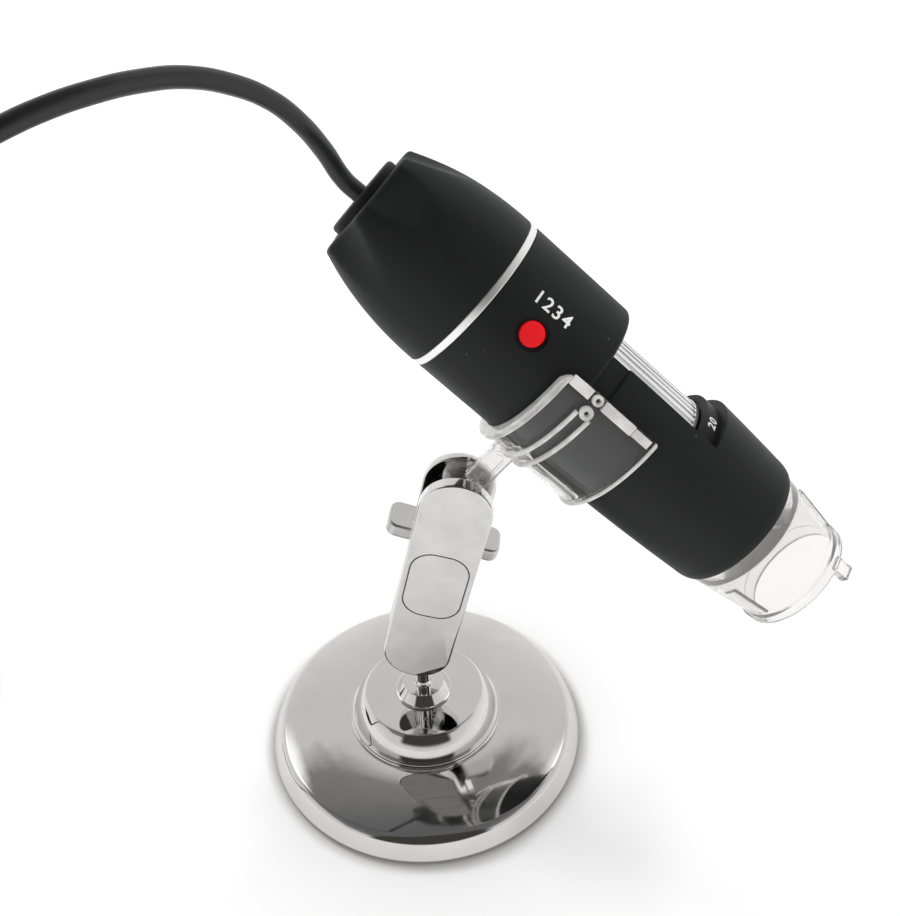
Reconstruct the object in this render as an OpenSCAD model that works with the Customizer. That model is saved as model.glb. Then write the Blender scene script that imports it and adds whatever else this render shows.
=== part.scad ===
// USB digital microscope held by a clear clip in a ball-jointed clamp stand.
// Millimetres, +Z up, origin at the centre of the base's underside.

/* [Microscope body] */
// Outer radius of the sleeve
body_r = 16.5; // [15.5:0.5:18]
// Length of the tail cap
tail_len = 24.8; // [22:0.2:30]
// Radius of the tail cap's rear face
tail_r = 11.9; // [11:0.1:12.8]
// Depth of the finger scallops at the rear edge
scallop_depth = 2; // [1:0.1:2.4]
// Length of the finger scallops
scallop_len = 10.5; // [8:0.1:13]
// Width of the bright trim ring
ring_w = 1.5; // [1:0.1:3]
// Length of the sleeve
sleeve_len = 23.5; // [22.5:0.1:26]
// Wall thickness of the sleeve
wall = 1.8; // [1.6:0.1:2]
// Width of the neck between sleeve and front housing
neck_w = 3.9; // [2:0.1:6]
// Step from the sleeve down to the neck
neck_step = 0.8; // [0.4:0.1:1.2]
// Length of the front housing ahead of the neck
housing_len = 41.4; // [40:0.2:48]
// Fall of the housing's radius from its rear edge to its front
housing_taper = 1.3; // [0.8:0.1:1.6]

/* [Nose] */
// Length of the clear nose cap ahead of the housing
nose_len = 17.9; // [14:0.1:24]
// Radius of the nose cap's open rim
nose_r = 12.3; // [11.8:0.1:12.8]
// Wall thickness of the nose cap
nose_wall = 1.3; // [1:0.1:1.6]
// Number of lamps in the ring light
led_count = 8; // [4:2:8]

/* [Focus wheel] */
// Length of the wheel seen in the window
wheel_show = 16.5; // [15:0.1:18]
// Number of grip ribs around the wheel
wheel_ribs = 48; // [24:2:60]
// Depth of the grip grooves
rib_depth = 0.4; // [0.2:0.05:0.5]
// Angle of the window's near edge around the body
window_a1 = 27.5; // [15:0.5:40]
// Angle that the window spans
window_span = 100; // [70:1:120]
// Length of the shallow recess ahead of the window
recess_len = 5.5; // [4:0.1:7]
// Travel of the lens barrel each way
focus_travel = 4; // [2:0.1:4.5]

/* [Button] */
// Distance of the button from the tail face
button_s = 35.4; // [35.2:0.1:35.6]
// Angle of the button around the body
button_a = 51; // [40:1:60]
// Radius of the button cap
button_r = 2.3; // [2:0.05:2.6]
// Height of the cap above the sleeve
button_proud = 0.35; // [0.2:0.05:0.8]

/* [Clip] */
// Thickness of the clip's wall
clip_wall = 1.8; // [1.4:0.1:2.4]
// Length of the clip along the body
clip_len = 21.5; // [18:0.1:24]
// Half of the angle that the clip wraps
clip_wrap = 109; // [100:1:115]
// Distance from the tail face to the stem's centre line
clip_s = 51.4; // [50:0.1:53]
// Distance from the stem's centre line back to the clip's rear edge
clip_back = 7.5; // [6:0.1:9]
// Length from the clip's wall to the centre of its ball
stem_len = 15.3; // [14:0.1:20]
// Angle of the stem around the body
stem_angle = 162.4; // [155:0.1:170]
// Width of the stem along the body
stem_w = 4.9; // [3.5:0.1:6]

/* [Stand] */
// Radius of the base
base_r = 37; // [34:0.5:42]
// Height of the base's rim
rim_z = 5.9; // [5.5:0.1:7]
// Height of the boss on the base
boss_z = 14.8; // [14:0.1:16.5]
// Height of the lower ball's centre
ball_z = 33.4; // [30:0.1:38]
// Radius of both balls
ball_r = 3.8; // [3.5:0.1:4.2]
// Distance between the two balls
arm_pitch = 42.8; // [40:0.1:50]
// Half of the arm's width
arm_w = 7.55; // [7:0.05:8]
// Lean of the arm from the vertical
arm_lean = 13.2; // [0:0.1:20]
// Half of the gap between the arm's halves
gap_half = 3; // [2.9:0.05:3.2]
// Thickness of the arm's front half
front_t = 2.8; // [2.4:0.1:3.5]
// Thickness of the arm's rear half
rear_t = 2.2; // [1.8:0.1:3]
// Reach of the wing nut's ears from its axis
wing_span = 12.8; // [10:0.1:15]

/* [Pose] */
// Dip of the microscope below the horizontal
scope_dip = 40.7; // [35:0.1:45]
// Heading of the microscope about the vertical
scope_heading = -10; // [-12:0.5:-8]

/* [Cord] */
// Diameter of the cord
cord_d = 3.5; // [3.2:0.1:3.6]
// Radius of the coil's outer turn
coil_r = 28; // [27.5:0.1:29]
// Pitch of the coil's turns and layers
coil_pitch = 3.95; // [3.9:0.05:4]

/* [Hidden] */
$fn = 64;
fit = 0.05;
slack = 0.3;

// stations along the microscope, from its tail face
z_sleeve = tail_len + ring_w;
z_neck = z_sleeve + sleeve_len;
z_house = z_neck + neck_w;
z_front = z_house + housing_len;
z_nose = z_front + nose_len;
z_wheel_end = z_house + wheel_show;
z_chamber = z_wheel_end + slack;
z_recess = z_chamber + recess_len;
z_board = z_neck - 10.4;
board_t = 1.6;
z_flange = z_board + board_t;
flange_t = 2;
z_wheel = z_flange + flange_t + 0.2;

// radii of the microscope
sleeve_in = body_r - wall;
spigot_r = sleeve_in - fit;
spigot_in = spigot_r - 1.4;
spigot_len = 5;
neck_r = body_r - neck_step;
wheel_r = body_r - 4.4;
chamber_r = wheel_r + 0.5;
tube_r = body_r - 6.4;
tube_in = tube_r - 1.1;
barrel_r = tube_in - fit;
house_r0 = body_r - slack;
round_len = 3;
house_r1 = house_r0 - housing_taper;
rim_r = house_r1 - 0.8;
mouth_r = rim_r - 1.45;
root_r = rim_r - 0.15;
floor_r = body_r - 2.4;
z_ledge = z_front - 9.1;
light_r = body_r - 7.5;
light_t = 1.4;
light_screw = 4;

// tail cap
gland_r = 8;
gland_t = 1.6;
hub_r = 5;
hub_len = 6.2;
cord_r = cord_d / 2;
bow_drop = body_r - tail_r;
bow_r = (tail_len * tail_len + bow_drop * bow_drop) / (2 * bow_drop);
scallop_r = 12;
scallop_phase = 40;

function bow(z) = body_r - bow_r + sqrt(bow_r * bow_r - (tail_len - z) * (tail_len - z));

scallop_floor = tail_r - scallop_depth;
scallop_tilt = atan((bow(scallop_len) - scallop_floor) / scallop_len);

// lens train
barrel_len = 14;
z_pin = z_wheel_end - focus_travel - 2.2;
z_barrel = z_pin - 6;
pin_a = 100;
pin_r = 0.9;
lens_r = 4.4;
lens_cap = 3.5;
lens_edge = 1.5;
lens_sag = 0.9;
seat_depth = 3.2;

// button
flange_top = sleeve_in + 0.65;
flange_low = flange_top - 0.6;
flange_r = button_r + 0.7;
switch_top = flange_low - 0.85;
switch_h = 1.5;
plate_top = switch_top - switch_h;
plate_half = sqrt((sleeve_in - 0.15) * (sleeve_in - 0.15) - plate_top * plate_top);

// clip
clip_r = body_r + 0.08;
clip_out = clip_r + clip_wall;
reach = clip_out + stem_len;
z_clip = clip_s - clip_back;
stem_t = 3;
stem_neck_r = 1.3;

// stand
boss_r = 13.7;
boss_round = 4;
boss_foot = 17.6;
dish_wall = 1.6;
pad_t = 1.2;
skirt_z = 0.5;
pad_r = base_r - 2;
stud_r = 3;
collar_h = 2.7;
clamp_z = arm_pitch / 2;
bolt_r = 1.95;
washer_r = 4.8;
collar_r = 6.5;
stud_tail = 6;
weight_gap = 4.4;
pin_reach = 3;
board_bore = 5.5;
led_h = 3.6;
nut_over = 7;
nut_foot_r = 4.6;
nut_top_r = 3.6;
rim_clear = 11.5;
rim_t = 1.6;
split = 0.4;
washer_t = 0.8;
rear_face = gap_half + rear_t;
nut_face = rear_face + washer_t + 0.05;
wing_turned = -7;
upper_ball = [arm_pitch * sin(arm_lean), 0, ball_z + arm_pitch * cos(arm_lean)];

// cord: the gland's own place, then points chosen by hand along the route
cap_dir = [cos(scope_dip) * cos(scope_heading), cos(scope_dip) * sin(scope_heading), -sin(scope_dip)];
up_dir = [sin(scope_dip) * cos(scope_heading), sin(scope_dip) * sin(scope_heading), cos(scope_dip)];
side_dir = [sin(scope_heading), -cos(scope_heading), 0];
tail_point = upper_ball - reach * cos(stem_angle) * up_dir
    - reach * sin(stem_angle) * side_dir - clip_s * cap_dir;
cord_start = tail_point - gland_t * cap_dir;
tie_t = 0.5;
coil_z = cord_r + tie_t + 0.1;
coil_c = [-141, -6, 0];
coil_turns = 7.5;
loop_rings = 24;
lead_end = [coil_c[0] + coil_r, coil_c[1] - cord_d, coil_z];
lead_route = [
    cord_start,
    cord_start - cord_d * cap_dir,
    [-13, 12.5, 142.5],
    [-16, 9, 149],
    [-19.5, 5.5, 154],
    [-24, 1, 158],
    [-29, -4.5, 161],
    [-34, -10.5, 162.5],
    [-39, -16.5, 163],
    [-44.5, -22, 162.5],
    [-50, -26.5, 161],
    [-57.5, -31, 158],
    [-66, -34.2, 153.5],
    [-75, -36.2, 147],
    [-84, -37, 138],
    [-92, -37, 127],
    [-98.5, -36.8, 115],
    [-103.2, -36.5, 102],
    [-106.6, -36.2, 88],
    [-109, -36, 74],
    [-110.8, -35.9, 60],
    [-112, -35.8, 46.5],
    [-112.7, -35.6, 34],
    [-113, -34.8, 23.5],
    [-113, -32.6, 14.5],
    [-113, -28.6, 8],
    [-113, -23, 4],
    [lead_end[0], lead_end[1] - 2 * cord_d, coil_z],
    [lead_end[0], lead_end[1] - cord_d, coil_z],
    lead_end
];
plug_y = -15;
plug_z = 4.1;
tail_start = [coil_c[0] - coil_r, coil_c[1] - cord_d, coil_z + coil_pitch];
bend_r = 3 * cord_d;
bend_y = plug_y - 2 * cord_d;
plug_x = tail_start[0] - 2 * bend_r;
tail_route = concat(
    [tail_start, tail_start - [0, cord_d, 0]],
    [for (a = [0:-30:-180]) [plug_x + bend_r + bend_r * cos(a), bend_y + bend_r * sin(a),
        plug_z + (tail_start[2] - plug_z) * (1 + a / 180)]],
    [[plug_x, plug_y - cord_d, plug_z], [plug_x, plug_y, plug_z]]
);
boot_len = 10;
grip_len = 22;
shell_len = 18.8;
grip_w = 15.6;
grip_h = 8;
tie_angle = 90;

// coil: the spiral runs in, climbs a layer over the half turn where it reverses, and runs out
function coil_rad(t) = coil_r - coil_pitch * (t < coil_turns / 2 ? t : coil_turns - t);
function rise(x) = x <= 0 ? 0 : x >= 1 ? 1 : x * x * (3 - 2 * x);
function coil_lift(t) = coil_pitch * rise((t - coil_turns / 2 + 0.25) / 0.5);
function coil_pt(t) = coil_c
    + [coil_rad(t) * cos(360 * t), coil_rad(t) * sin(360 * t), coil_z + coil_lift(t)];
coil_route = concat(
    [lead_end],
    [for (i = [0:coil_turns * loop_rings]) coil_pt(i / loop_rings)],
    [tail_start]
);
coil_gap = min([for (i = [0:len(coil_route) - 1]) for (j = [i + 8:1:len(coil_route) - 1])
    norm(coil_route[i] - coil_route[j])]) - cord_d;
echo(str("least gap between the coil's turns ", coil_gap));

function unit(v) = v / norm(v);
function tangent(p, i) = unit(p[min(i + 1, len(p) - 1)] - p[max(i - 1, 0)]);
function square_to(v, t) = unit(v - (v * t) * t);
function side_start(t) = square_to(abs(t[2]) < 0.8 ? [0, 0, 1] : [0, 1, 0], t);
function sides(p) = [for (i = 0, n = side_start(tangent(p, 0)); i < len(p);
    i = i + 1, n = i < len(p) ? square_to(n, tangent(p, i)) : n) n];
function ring_pts(c, n, b, r, m) = [for (k = [0:m - 1])
    c + r * (cos(360 * k / m) * n + sin(360 * k / m) * b)];

module tube(p, r, m) {
    n = sides(p);
    pts = [for (i = [0:len(p) - 1]) each ring_pts(p[i], n[i], cross(tangent(p, i), n[i]), r, m)];
    last = len(p) - 1;
    skin_a = [for (i = [0:last - 1]) for (k = [0:m - 1])
        [i * m + k, (i + 1) * m + k, (i + 1) * m + (k + 1) % m]];
    skin_b = [for (i = [0:last - 1]) for (k = [0:m - 1])
        [i * m + k, (i + 1) * m + (k + 1) % m, i * m + (k + 1) % m]];
    caps = [[for (k = [0:m - 1]) k], [for (k = [0:m - 1]) last * m + m - 1 - k]];
    polyhedron(points = pts, faces = concat(skin_a, skin_b, caps));
}

module scope_place() {
    translate(upper_ball)
        rotate([0, 90 + scope_dip, scope_heading])
            rotate([0, 0, 180])
                translate([-reach * cos(stem_angle), -reach * sin(stem_angle), -clip_s])
                    children();
}

module arm_place() {
    translate([0, 0, ball_z])
        rotate([0, arm_lean, 0])
            children();
}

module plug_place(y) {
    translate([plug_x, y, plug_z])
        rotate([-90, 0, 0])
            children();
}

module radial_at(s, a) {
    translate([0, 0, s])
        rotate([0, 0, a])
            rotate([0, 90, 0])
                children();
}

module pipe(z0, z1, r0, r1) {
    translate([0, 0, z0])
        difference() {
            cylinder(h = z1 - z0, r = r1);
            translate([0, 0, -1])
                cylinder(h = z1 - z0 + 2, r = r0);
        }
}

module sector(r0, r1, a0, a1, z0, z1) {
    rotate([0, 0, a0])
        rotate_extrude(angle = a1 - a0)
            polygon([[r0, z0], [r1, z0], [r1, z1], [r0, z1]]);
}

module tail_cap() color([0.03, 0.03, 0.033]) scope_place() {
    steps = 8;
    edge = 0.8;
    outer = [for (i = [0:steps]) let (z = edge + (tail_len - edge) * i / steps) [bow(z), z]];
    end_z = z_sleeve + spigot_len;
    difference() {
        rotate_extrude()
            polygon(concat(
                [[hub_r, 0], [bow(0) - edge, 0], [bow(0) - 0.3 * edge + 0.05, 0.25 * edge]],
                outer,
                [[spigot_r, tail_len], [spigot_r, end_z], [spigot_in, end_z], [spigot_in, 11.5],
                    [gland_r + 0.5, 2.4], [hub_r, 2.4]]));
        for (i = [0:5])
            rotate([0, 0, scallop_phase + 60 * i])
                translate([scallop_floor, 0, 0])
                    rotate([0, scallop_tilt, 0])
                        translate([scallop_r, 0, -12])
                            cylinder(h = 40, r = scallop_r);
    }
}

module cable_gland() color([0.05, 0.05, 0.055]) scope_place() {
    rotate_extrude()
        polygon([[cord_r + fit, hub_len], [cord_r + fit, -gland_t], [gland_r - 0.9, -gland_t],
            [gland_r - 0.25, -gland_t + 0.3], [gland_r, -gland_t + 0.9], [gland_r, 0],
            [hub_r - fit, 0], [hub_r - fit, hub_len]]);
}

module trim_ring() color([0.8, 0.81, 0.83]) scope_place() {
    rotate_extrude()
        polygon([[spigot_r + fit, tail_len], [body_r - 0.15, tail_len], [body_r, tail_len + 0.2],
            [body_r, z_sleeve - 0.2], [body_r - 0.15, z_sleeve], [spigot_r + fit, z_sleeve]]);
}

module main_sleeve() color([0.03, 0.03, 0.033]) scope_place() {
    round_r = 1;
    bend = [for (i = [0:5])
        [body_r - round_r + round_r * cos(18 * i), z_neck - round_r + round_r * sin(18 * i)]];
    difference() {
        rotate_extrude()
            polygon(concat([[sleeve_in, z_sleeve], [body_r, z_sleeve]], bend, [[sleeve_in, z_neck]]));
        radial_at(button_s, button_a) {
            cylinder(h = body_r + 2, r = button_r + 0.15);
            cylinder(h = flange_top + fit, r = flange_r + 0.2);
            translate([0, 0, body_r - 0.5])
                cylinder(h = 3, r = button_r + 0.8);
        }
    }
}

module snap_button() color([0.62, 0.05, 0.05]) scope_place() {
    top = body_r + button_proud;
    radial_at(button_s, button_a)
        rotate_extrude()
            polygon([[0, flange_low], [flange_r, flange_low], [flange_r, flange_top],
                [button_r, flange_top], [button_r, top - 0.4], [button_r - 0.12, top - 0.15],
                [button_r - 0.45, top],
                [button_r - 1, top + 0.1], [0, top + 0.16]]);
}

module button_board() color([0.05, 0.25, 0.12]) scope_place() {
    radial_at(button_s, button_a)
        translate([-3.2, -plate_half, plate_top - 1])
            cube([6.4, 2 * plate_half, 1]);
}

module button_switch() color([0.12, 0.12, 0.13]) scope_place() {
    radial_at(button_s, button_a) {
        translate([-2.25, -2.25, plate_top])
            cube([4.5, 4.5, switch_h]);
        translate([0, 0, switch_top])
            cylinder(h = 0.3, r = 1.2);
    }
}

module sensor_board() color([0.05, 0.25, 0.12]) scope_place() {
    difference() {
        translate([0, 0, z_board])
            cylinder(h = board_t, r = sleeve_in - 0.2);
        for (a = [0, 180])
            rotate([0, 0, a])
                translate([tube_r + 1.6, 0, z_board - 1])
                    cylinder(h = board_t + 2, r = 1 + fit);
    }
}

module image_sensor() color([0.1, 0.12, 0.16]) scope_place() {
    translate([-4, -4, z_flange])
        cube([8, 8, 1]);
    translate([-3, -3, z_flange + 1])
        cube([6, 6, 0.3]);
}

module board_screws() color([0.6, 0.6, 0.62]) scope_place() {
    for (a = [0, 180])
        rotate([0, 0, a])
            translate([tube_r + 1.6, 0, 0]) {
                translate([0, 0, z_board])
                    cylinder(h = board_t + 1.7, r = 1);
                difference() {
                    translate([0, 0, z_board - 1.2])
                        cylinder(h = 1.2, r = 1.9);
                    translate([-1.4, -0.25, z_board - 1.7])
                        cube([2.8, 0.5, 1]);
                }
            }
}

module lens_tube() color([0.1, 0.1, 0.105]) scope_place() {
    tube_end = z_chamber + 9;
    difference() {
        union() {
            pipe(z_flange, tube_end, tube_in, tube_r);
            pipe(z_flange, z_flange + flange_t, tube_in, sleeve_in - 0.1);
        }
        for (a = [0, 180])
            rotate([0, 0, a])
                translate([tube_r + 1.6, 0, z_flange - 1])
                    cylinder(h = 2.8, r = 1 + fit);
        radial_at(z_pin, pin_a) {
            translate([-focus_travel, -pin_r - fit, 0])
                cube([2 * focus_travel, 2 * (pin_r + fit), tube_r + 2]);
            for (d = [-focus_travel, focus_travel])
                translate([d, 0, 0])
                    cylinder(h = tube_r + 2, r = pin_r + fit);
        }
    }
}

module focus_wheel() color([0.78, 0.79, 0.81]) scope_place() {
    relief = tube_r + 0.8;
    difference() {
        rotate_extrude()
            polygon([[tube_r + fit, z_wheel], [wheel_r - 0.3, z_wheel], [wheel_r, z_wheel + 0.3],
                [wheel_r, z_wheel_end - 1], [wheel_r + 0.15, z_wheel_end - 0.9],
                [wheel_r + 0.15, z_wheel_end - 0.15], [wheel_r, z_wheel_end],
                [tube_r + fit, z_wheel_end], [tube_r + fit, z_pin + focus_travel + 1.2],
                [relief, z_pin + focus_travel + 1.2], [relief, z_pin - focus_travel - 1.2],
                [tube_r + fit, z_pin - focus_travel - 1.2]]);
        for (i = [0:wheel_ribs - 1])
            rotate([0, 0, 360 * i / wheel_ribs])
                translate([wheel_r - rib_depth, -0.35, z_wheel - 1])
                    cube([2, 0.7, z_wheel_end - z_wheel]);
    }
}

module lens_barrel() color([0.08, 0.08, 0.085]) scope_place() {
    end_z = z_barrel + barrel_len;
    seat = lens_r + fit;
    bore = lens_cap + 0.1;
    difference() {
        rotate_extrude()
            polygon([[seat, z_barrel], [barrel_r, z_barrel], [barrel_r, end_z], [seat, end_z],
                [seat, end_z - seat_depth], [bore, end_z - seat_depth],
                [bore, z_barrel + seat_depth], [seat, z_barrel + seat_depth]]);
        radial_at(z_pin, pin_a)
            translate([0, 0, barrel_r - pin_reach])
                cylinder(h = 2 * pin_reach, r = pin_r + fit);
    }
}

module focus_pin() color([0.7, 0.6, 0.3]) scope_place() {
    radial_at(z_pin, pin_a)
        translate([0, 0, barrel_r - 2.9])
            cylinder(h = tube_r + 0.7 - barrel_r + 2.9, r = pin_r);
}

module lens(z) {
    steps = 6;
    bulge = [for (i = [0:steps]) let (x = lens_cap * (1 - i / steps))
        [x, lens_sag * (1 - pow(x / lens_cap, 2))]];
    rotate_extrude()
        polygon(concat(
            [for (i = [0:steps]) [bulge[steps - i][0], z - lens_edge / 2 - bulge[steps - i][1]]],
            [[lens_r, z - lens_edge / 2], [lens_r, z + lens_edge / 2]],
            [for (b = bulge) [b[0], z + lens_edge / 2 + b[1]]]));
}

module front_lens() color([0.75, 0.85, 0.9, 0.5]) scope_place() {
    lens(z_barrel + barrel_len - seat_depth + lens_edge / 2);
}

module rear_lens() color([0.75, 0.85, 0.9, 0.5]) scope_place() {
    lens(z_barrel + seat_depth - lens_edge / 2);
}

module lens_retainer() color([0.12, 0.12, 0.125]) scope_place() {
    z0 = z_barrel + barrel_len - seat_depth + lens_edge;
    pipe(z0, z0 + 1.2, lens_cap + 0.1, lens_r);
}

module front_housing() color([0.03, 0.03, 0.033]) scope_place() {
    steps = 6;
    body_len = housing_len - round_len;
    flank = [for (i = [0:steps]) let (x = i / steps)
        [house_r0 - housing_taper * x * x, z_house + 0.3 + (body_len - 0.3) * x]];
    shoulder = [for (i = [1:5]) let (x = i / 5)
        [house_r1 - (house_r1 - rim_r) * (1 - cos(90 * x)), z_front - round_len * (1 - sin(90 * x))]];
    difference() {
        rotate_extrude()
            polygon(concat(
                [[chamber_r, z_neck - spigot_len], [spigot_r, z_neck - spigot_len], [spigot_r, z_neck],
                    [neck_r, z_neck], [neck_r, z_house], [house_r0 - 0.3, z_house]],
                flank,
                shoulder,
                [[mouth_r, z_front], [mouth_r, z_ledge], [light_r, z_ledge], [light_r, z_chamber + 9],
                    [tube_r + fit, z_chamber + 9], [tube_r + fit, z_chamber], [chamber_r, z_chamber]]));
        sector(chamber_r - 1, body_r + 5, window_a1 - window_span, window_a1, z_neck - slack, z_chamber - 0.2);
        sector(floor_r, body_r + 5, window_a1 - window_span, window_a1, z_chamber - 0.5, z_recess);
        for (a = [22.5, 202.5])
            rotate([0, 0, a])
                translate([mouth_r - 1.5, 0, z_ledge - light_screw - 0.2])
                    cylinder(h = light_screw + 1.2, r = 0.8 + fit);
    }
}

module led_board() color([0.85, 0.86, 0.84]) scope_place() {
    difference() {
        pipe(z_ledge, z_ledge + light_t, board_bore, mouth_r - 0.1);
        for (a = [22.5, 202.5])
            rotate([0, 0, a])
                translate([mouth_r - 1.5, 0, z_ledge - light_t])
                    cylinder(h = 3 * light_t, r = 0.8 + fit);
    }
}

module leds() color([0.95, 0.95, 0.85]) scope_place() {
    for (i = [0:led_count - 1])
        rotate([0, 0, 360 * i / led_count])
            translate([light_r, 0, z_ledge + light_t])
                rotate_extrude($fn = 24)
                    polygon([[0, 0], [1.65, 0], [1.65, 0.6], [1.45, 0.6], [1.45, led_h - 1.4],
                        [1.25, led_h - 0.65], [0.75, led_h - 0.15], [0, led_h]]);
}

module led_screws() color([0.6, 0.6, 0.62]) scope_place() {
    for (a = [22.5, 202.5])
        rotate([0, 0, a])
            translate([mouth_r - 1.5, 0, z_ledge]) {
                translate([0, 0, -light_screw])
                    cylinder(h = light_screw + light_t, r = 0.8, $fn = 32);
                difference() {
                    translate([0, 0, light_t])
                        cylinder(h = 0.9, r = 1.3, $fn = 32);
                    translate([-1, -0.2, light_t + 0.5])
                        cube([2, 0.4, 1]);
                }
            }
}

module nose_cap() color([0.85, 0.88, 0.9, 0.35]) scope_place() {
    lip = 2.2;
    waist = nose_r - 0.55;
    inner = nose_r - 0.5 - nose_wall;
    rotate_extrude()
        polygon([[mouth_r - fit, z_ledge + 2.4], [mouth_r - fit, z_front], [root_r, z_front],
            [waist, z_nose - lip], [nose_r - 0.1, z_nose - lip + 0.3], [nose_r, z_nose - lip + 0.6],
            [nose_r, z_nose - 0.9], [nose_r - 0.25, z_nose - 0.25], [nose_r - 0.8, z_nose],
            [inner + 0.2, z_nose], [inner, z_nose - 0.3], [inner, z_nose - lip],
            [mouth_r - nose_wall, z_front], [mouth_r - nose_wall, z_ledge + 2.4]]);
    rotate([0, 0, 23])
        translate([nose_r - 1.3, -1.3, z_nose - 1.5])
            cube([1.5, 2.6, 3.7]);
}

module lead_stub() color([0.06, 0.06, 0.065]) scope_place() {
    translate([0, 0, -gland_t])
        cylinder(h = gland_t + hub_len + 3, r = cord_r);
}

module cord_clamp() color([0.6, 0.6, 0.62]) scope_place() {
    pipe(hub_len + 0.1, hub_len + 2.1, cord_r + fit, cord_r + 1.4);
}

module lead_wires() color([0.6, 0.1, 0.1]) scope_place() {
    for (a = [45:90:315])
        rotate([0, 0, a])
            translate([0.95, 0, hub_len + 3])
                cylinder(h = z_board - hub_len - 3, r = 0.5, $fn = 24);
}

module clip_band() {
    rib = 0.9;
    bead = 0.45;
    z1 = z_clip + clip_len;
    rotate([0, 0, -clip_wrap])
        rotate_extrude(angle = 2 * clip_wrap)
            polygon([[clip_r, z_clip], [clip_out + bead, z_clip], [clip_out + bead, z_clip + 1.4],
                [clip_out, z_clip + 1.6], [clip_out, clip_s - 1.7], [clip_out + rib, clip_s - 1.5],
                [clip_out + rib, clip_s - 0.4], [clip_out + 0.3, clip_s - 0.3],
                [clip_out + 0.3, clip_s + 0.3], [clip_out + rib, clip_s + 0.4],
                [clip_out + rib, clip_s + 1.5], [clip_out, clip_s + 1.7],
                [clip_out, z1 - 1.6], [clip_out + bead, z1 - 1.4], [clip_out + bead, z1], [clip_r, z1]]);
}

module clip_corners() {
    corner = 3.5;
    x_tip = clip_out * cos(clip_wrap);
    for (z = [z_clip, z_clip + clip_len])
        translate([x_tip, 40, z])
            rotate([90, 0, 0])
                linear_extrude(height = 80)
                    difference() {
                        translate([-6, z > clip_s ? -corner : -6])
                            square([6 + corner, 6 + corner]);
                        translate([corner - 0.2, z > clip_s ? 0.2 - corner : corner - 0.2])
                            circle(r = corner);
                    }
}

module clip() color([0.88, 0.9, 0.92, 0.35]) scope_place() rotate([0, 0, stem_angle]) {
    difference() {
        union() {
            difference() {
                clip_band();
                clip_corners();
            }
            for (side = [-1, 1]) {
                sector(clip_r + 0.4, clip_out + 0.9, side > 0 ? clip_wrap - 7 : 0.3 - clip_wrap,
                    side > 0 ? clip_wrap - 0.3 : 7 - clip_wrap, z_clip + 3.6, z_clip + clip_len - 6);
                for (d = [-1.5, 1.5])
                    rotate([0, 0, side * (clip_wrap - 10)])
                        translate([clip_out - 0.5, 0, clip_s + d])
                            rotate([0, 90, 0])
                                cylinder(h = 1.7, r = 1, $fn = 32);
            }
            translate([clip_out - 0.8, -stem_t / 2, clip_s - stem_w / 2])
                cube([stem_len - 8.4 + 0.8, stem_t, stem_w]);
        }
        for (side = [-1, 1])
            translate([clip_out + 1.2, (side - 1) / 2 + side * (stem_t / 2 - 0.5), clip_s - stem_w / 2 + 1])
                cube([stem_len - 10.6, 1, stem_w - 2]);
    }
    translate([reach - 8.5, 0, clip_s])
        rotate([0, 90, 0]) {
            cylinder(h = 1, r1 = 1.48, r2 = stem_neck_r, $fn = 32);
            cylinder(h = 8.5, r = stem_neck_r, $fn = 32);
        }
    translate([reach, 0, clip_s])
        sphere(r = ball_r);
}

module base_dish() color([0.8, 0.81, 0.83]) {
    steps = 8;
    edge_r = base_r - 2.1;
    crown = [for (i = [1:steps]) let (x = i / steps) [edge_r - 0.7 - (edge_r - 0.7 - boss_foot - 0.15) * x,
        rim_z + 0.25 + 1.45 * (1 - pow(1 - x, 2.5))]];
    shoulder = [for (i = [0:steps]) let (a = 30 + 48 * i / steps)
        [boss_r + boss_round * (cos(a) - cos(78)), boss_z - 0.1 + boss_round * (sin(a) - sin(78))]];
    rotate_extrude($fn = 128)
        polygon(concat(
            [[base_r - 1.6, skirt_z], [base_r - 0.15, skirt_z], [base_r, skirt_z + 0.5],
                [base_r - 0.4, skirt_z + 1.6], [edge_r + 0.5, rim_z - 1.15], [edge_r + 0.2, rim_z - 0.6],
                [edge_r - 0.25, rim_z - 0.15], [edge_r - 0.8, rim_z + 0.15]],
            crown,
            [[boss_foot, rim_z + 1.95], [boss_foot, rim_z + 3.3], [boss_foot - 0.1, rim_z + 4.2]],
            shoulder,
            [[boss_r - 0.3, boss_z], [stud_r + fit, boss_z], [stud_r + fit, boss_z - dish_wall],
                [boss_r - 1.6, boss_z - dish_wall], [boss_foot - 2.2, boss_z - 5],
                [boss_foot - 2.2, rim_z - 1.2], [edge_r - 1.9, rim_z - 1.2]]));
}

module base_weight() color([0.4, 0.4, 0.42]) {
    pipe(pad_t, rim_z - 1.4, boss_r - 1, base_r - weight_gap);
}

module foot_pad() color([0.06, 0.06, 0.06]) {
    cylinder(h = pad_t, r = pad_r);
}

module ball_stud() color([0.8, 0.81, 0.83]) {
    neck = 1.6;
    top = boss_z + fit;
    rotate_extrude()
        polygon([[0, boss_z - stud_tail], [stud_r - 0.3, boss_z - stud_tail],
            [stud_r, boss_z - stud_tail + 0.4], [stud_r, top],
            [collar_r - 0.2, top], [collar_r, top + 0.2], [collar_r, top + 0.5],
            [collar_r - 0.2, top + 0.7], [collar_r - 1.65, top + collar_h - 0.15], [collar_r - 1.85, top + collar_h],
            [neck + 0.9, top + collar_h], [neck + 0.3, top + collar_h + 0.5], [neck, top + collar_h + 1.2],
            [neck, ball_z], [0, ball_z]]);
    translate([0, 0, ball_z])
        sphere(r = ball_r);
}

module stud_nut() color([0.6, 0.6, 0.62]) {
    low = boss_z - dish_wall - 3;
    difference() {
        translate([0, 0, low])
            cylinder(h = 2.9, r = 5.8, $fn = 6);
        translate([0, 0, low - 1])
            cylinder(h = 6, r = stud_r + fit);
    }
}

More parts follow.
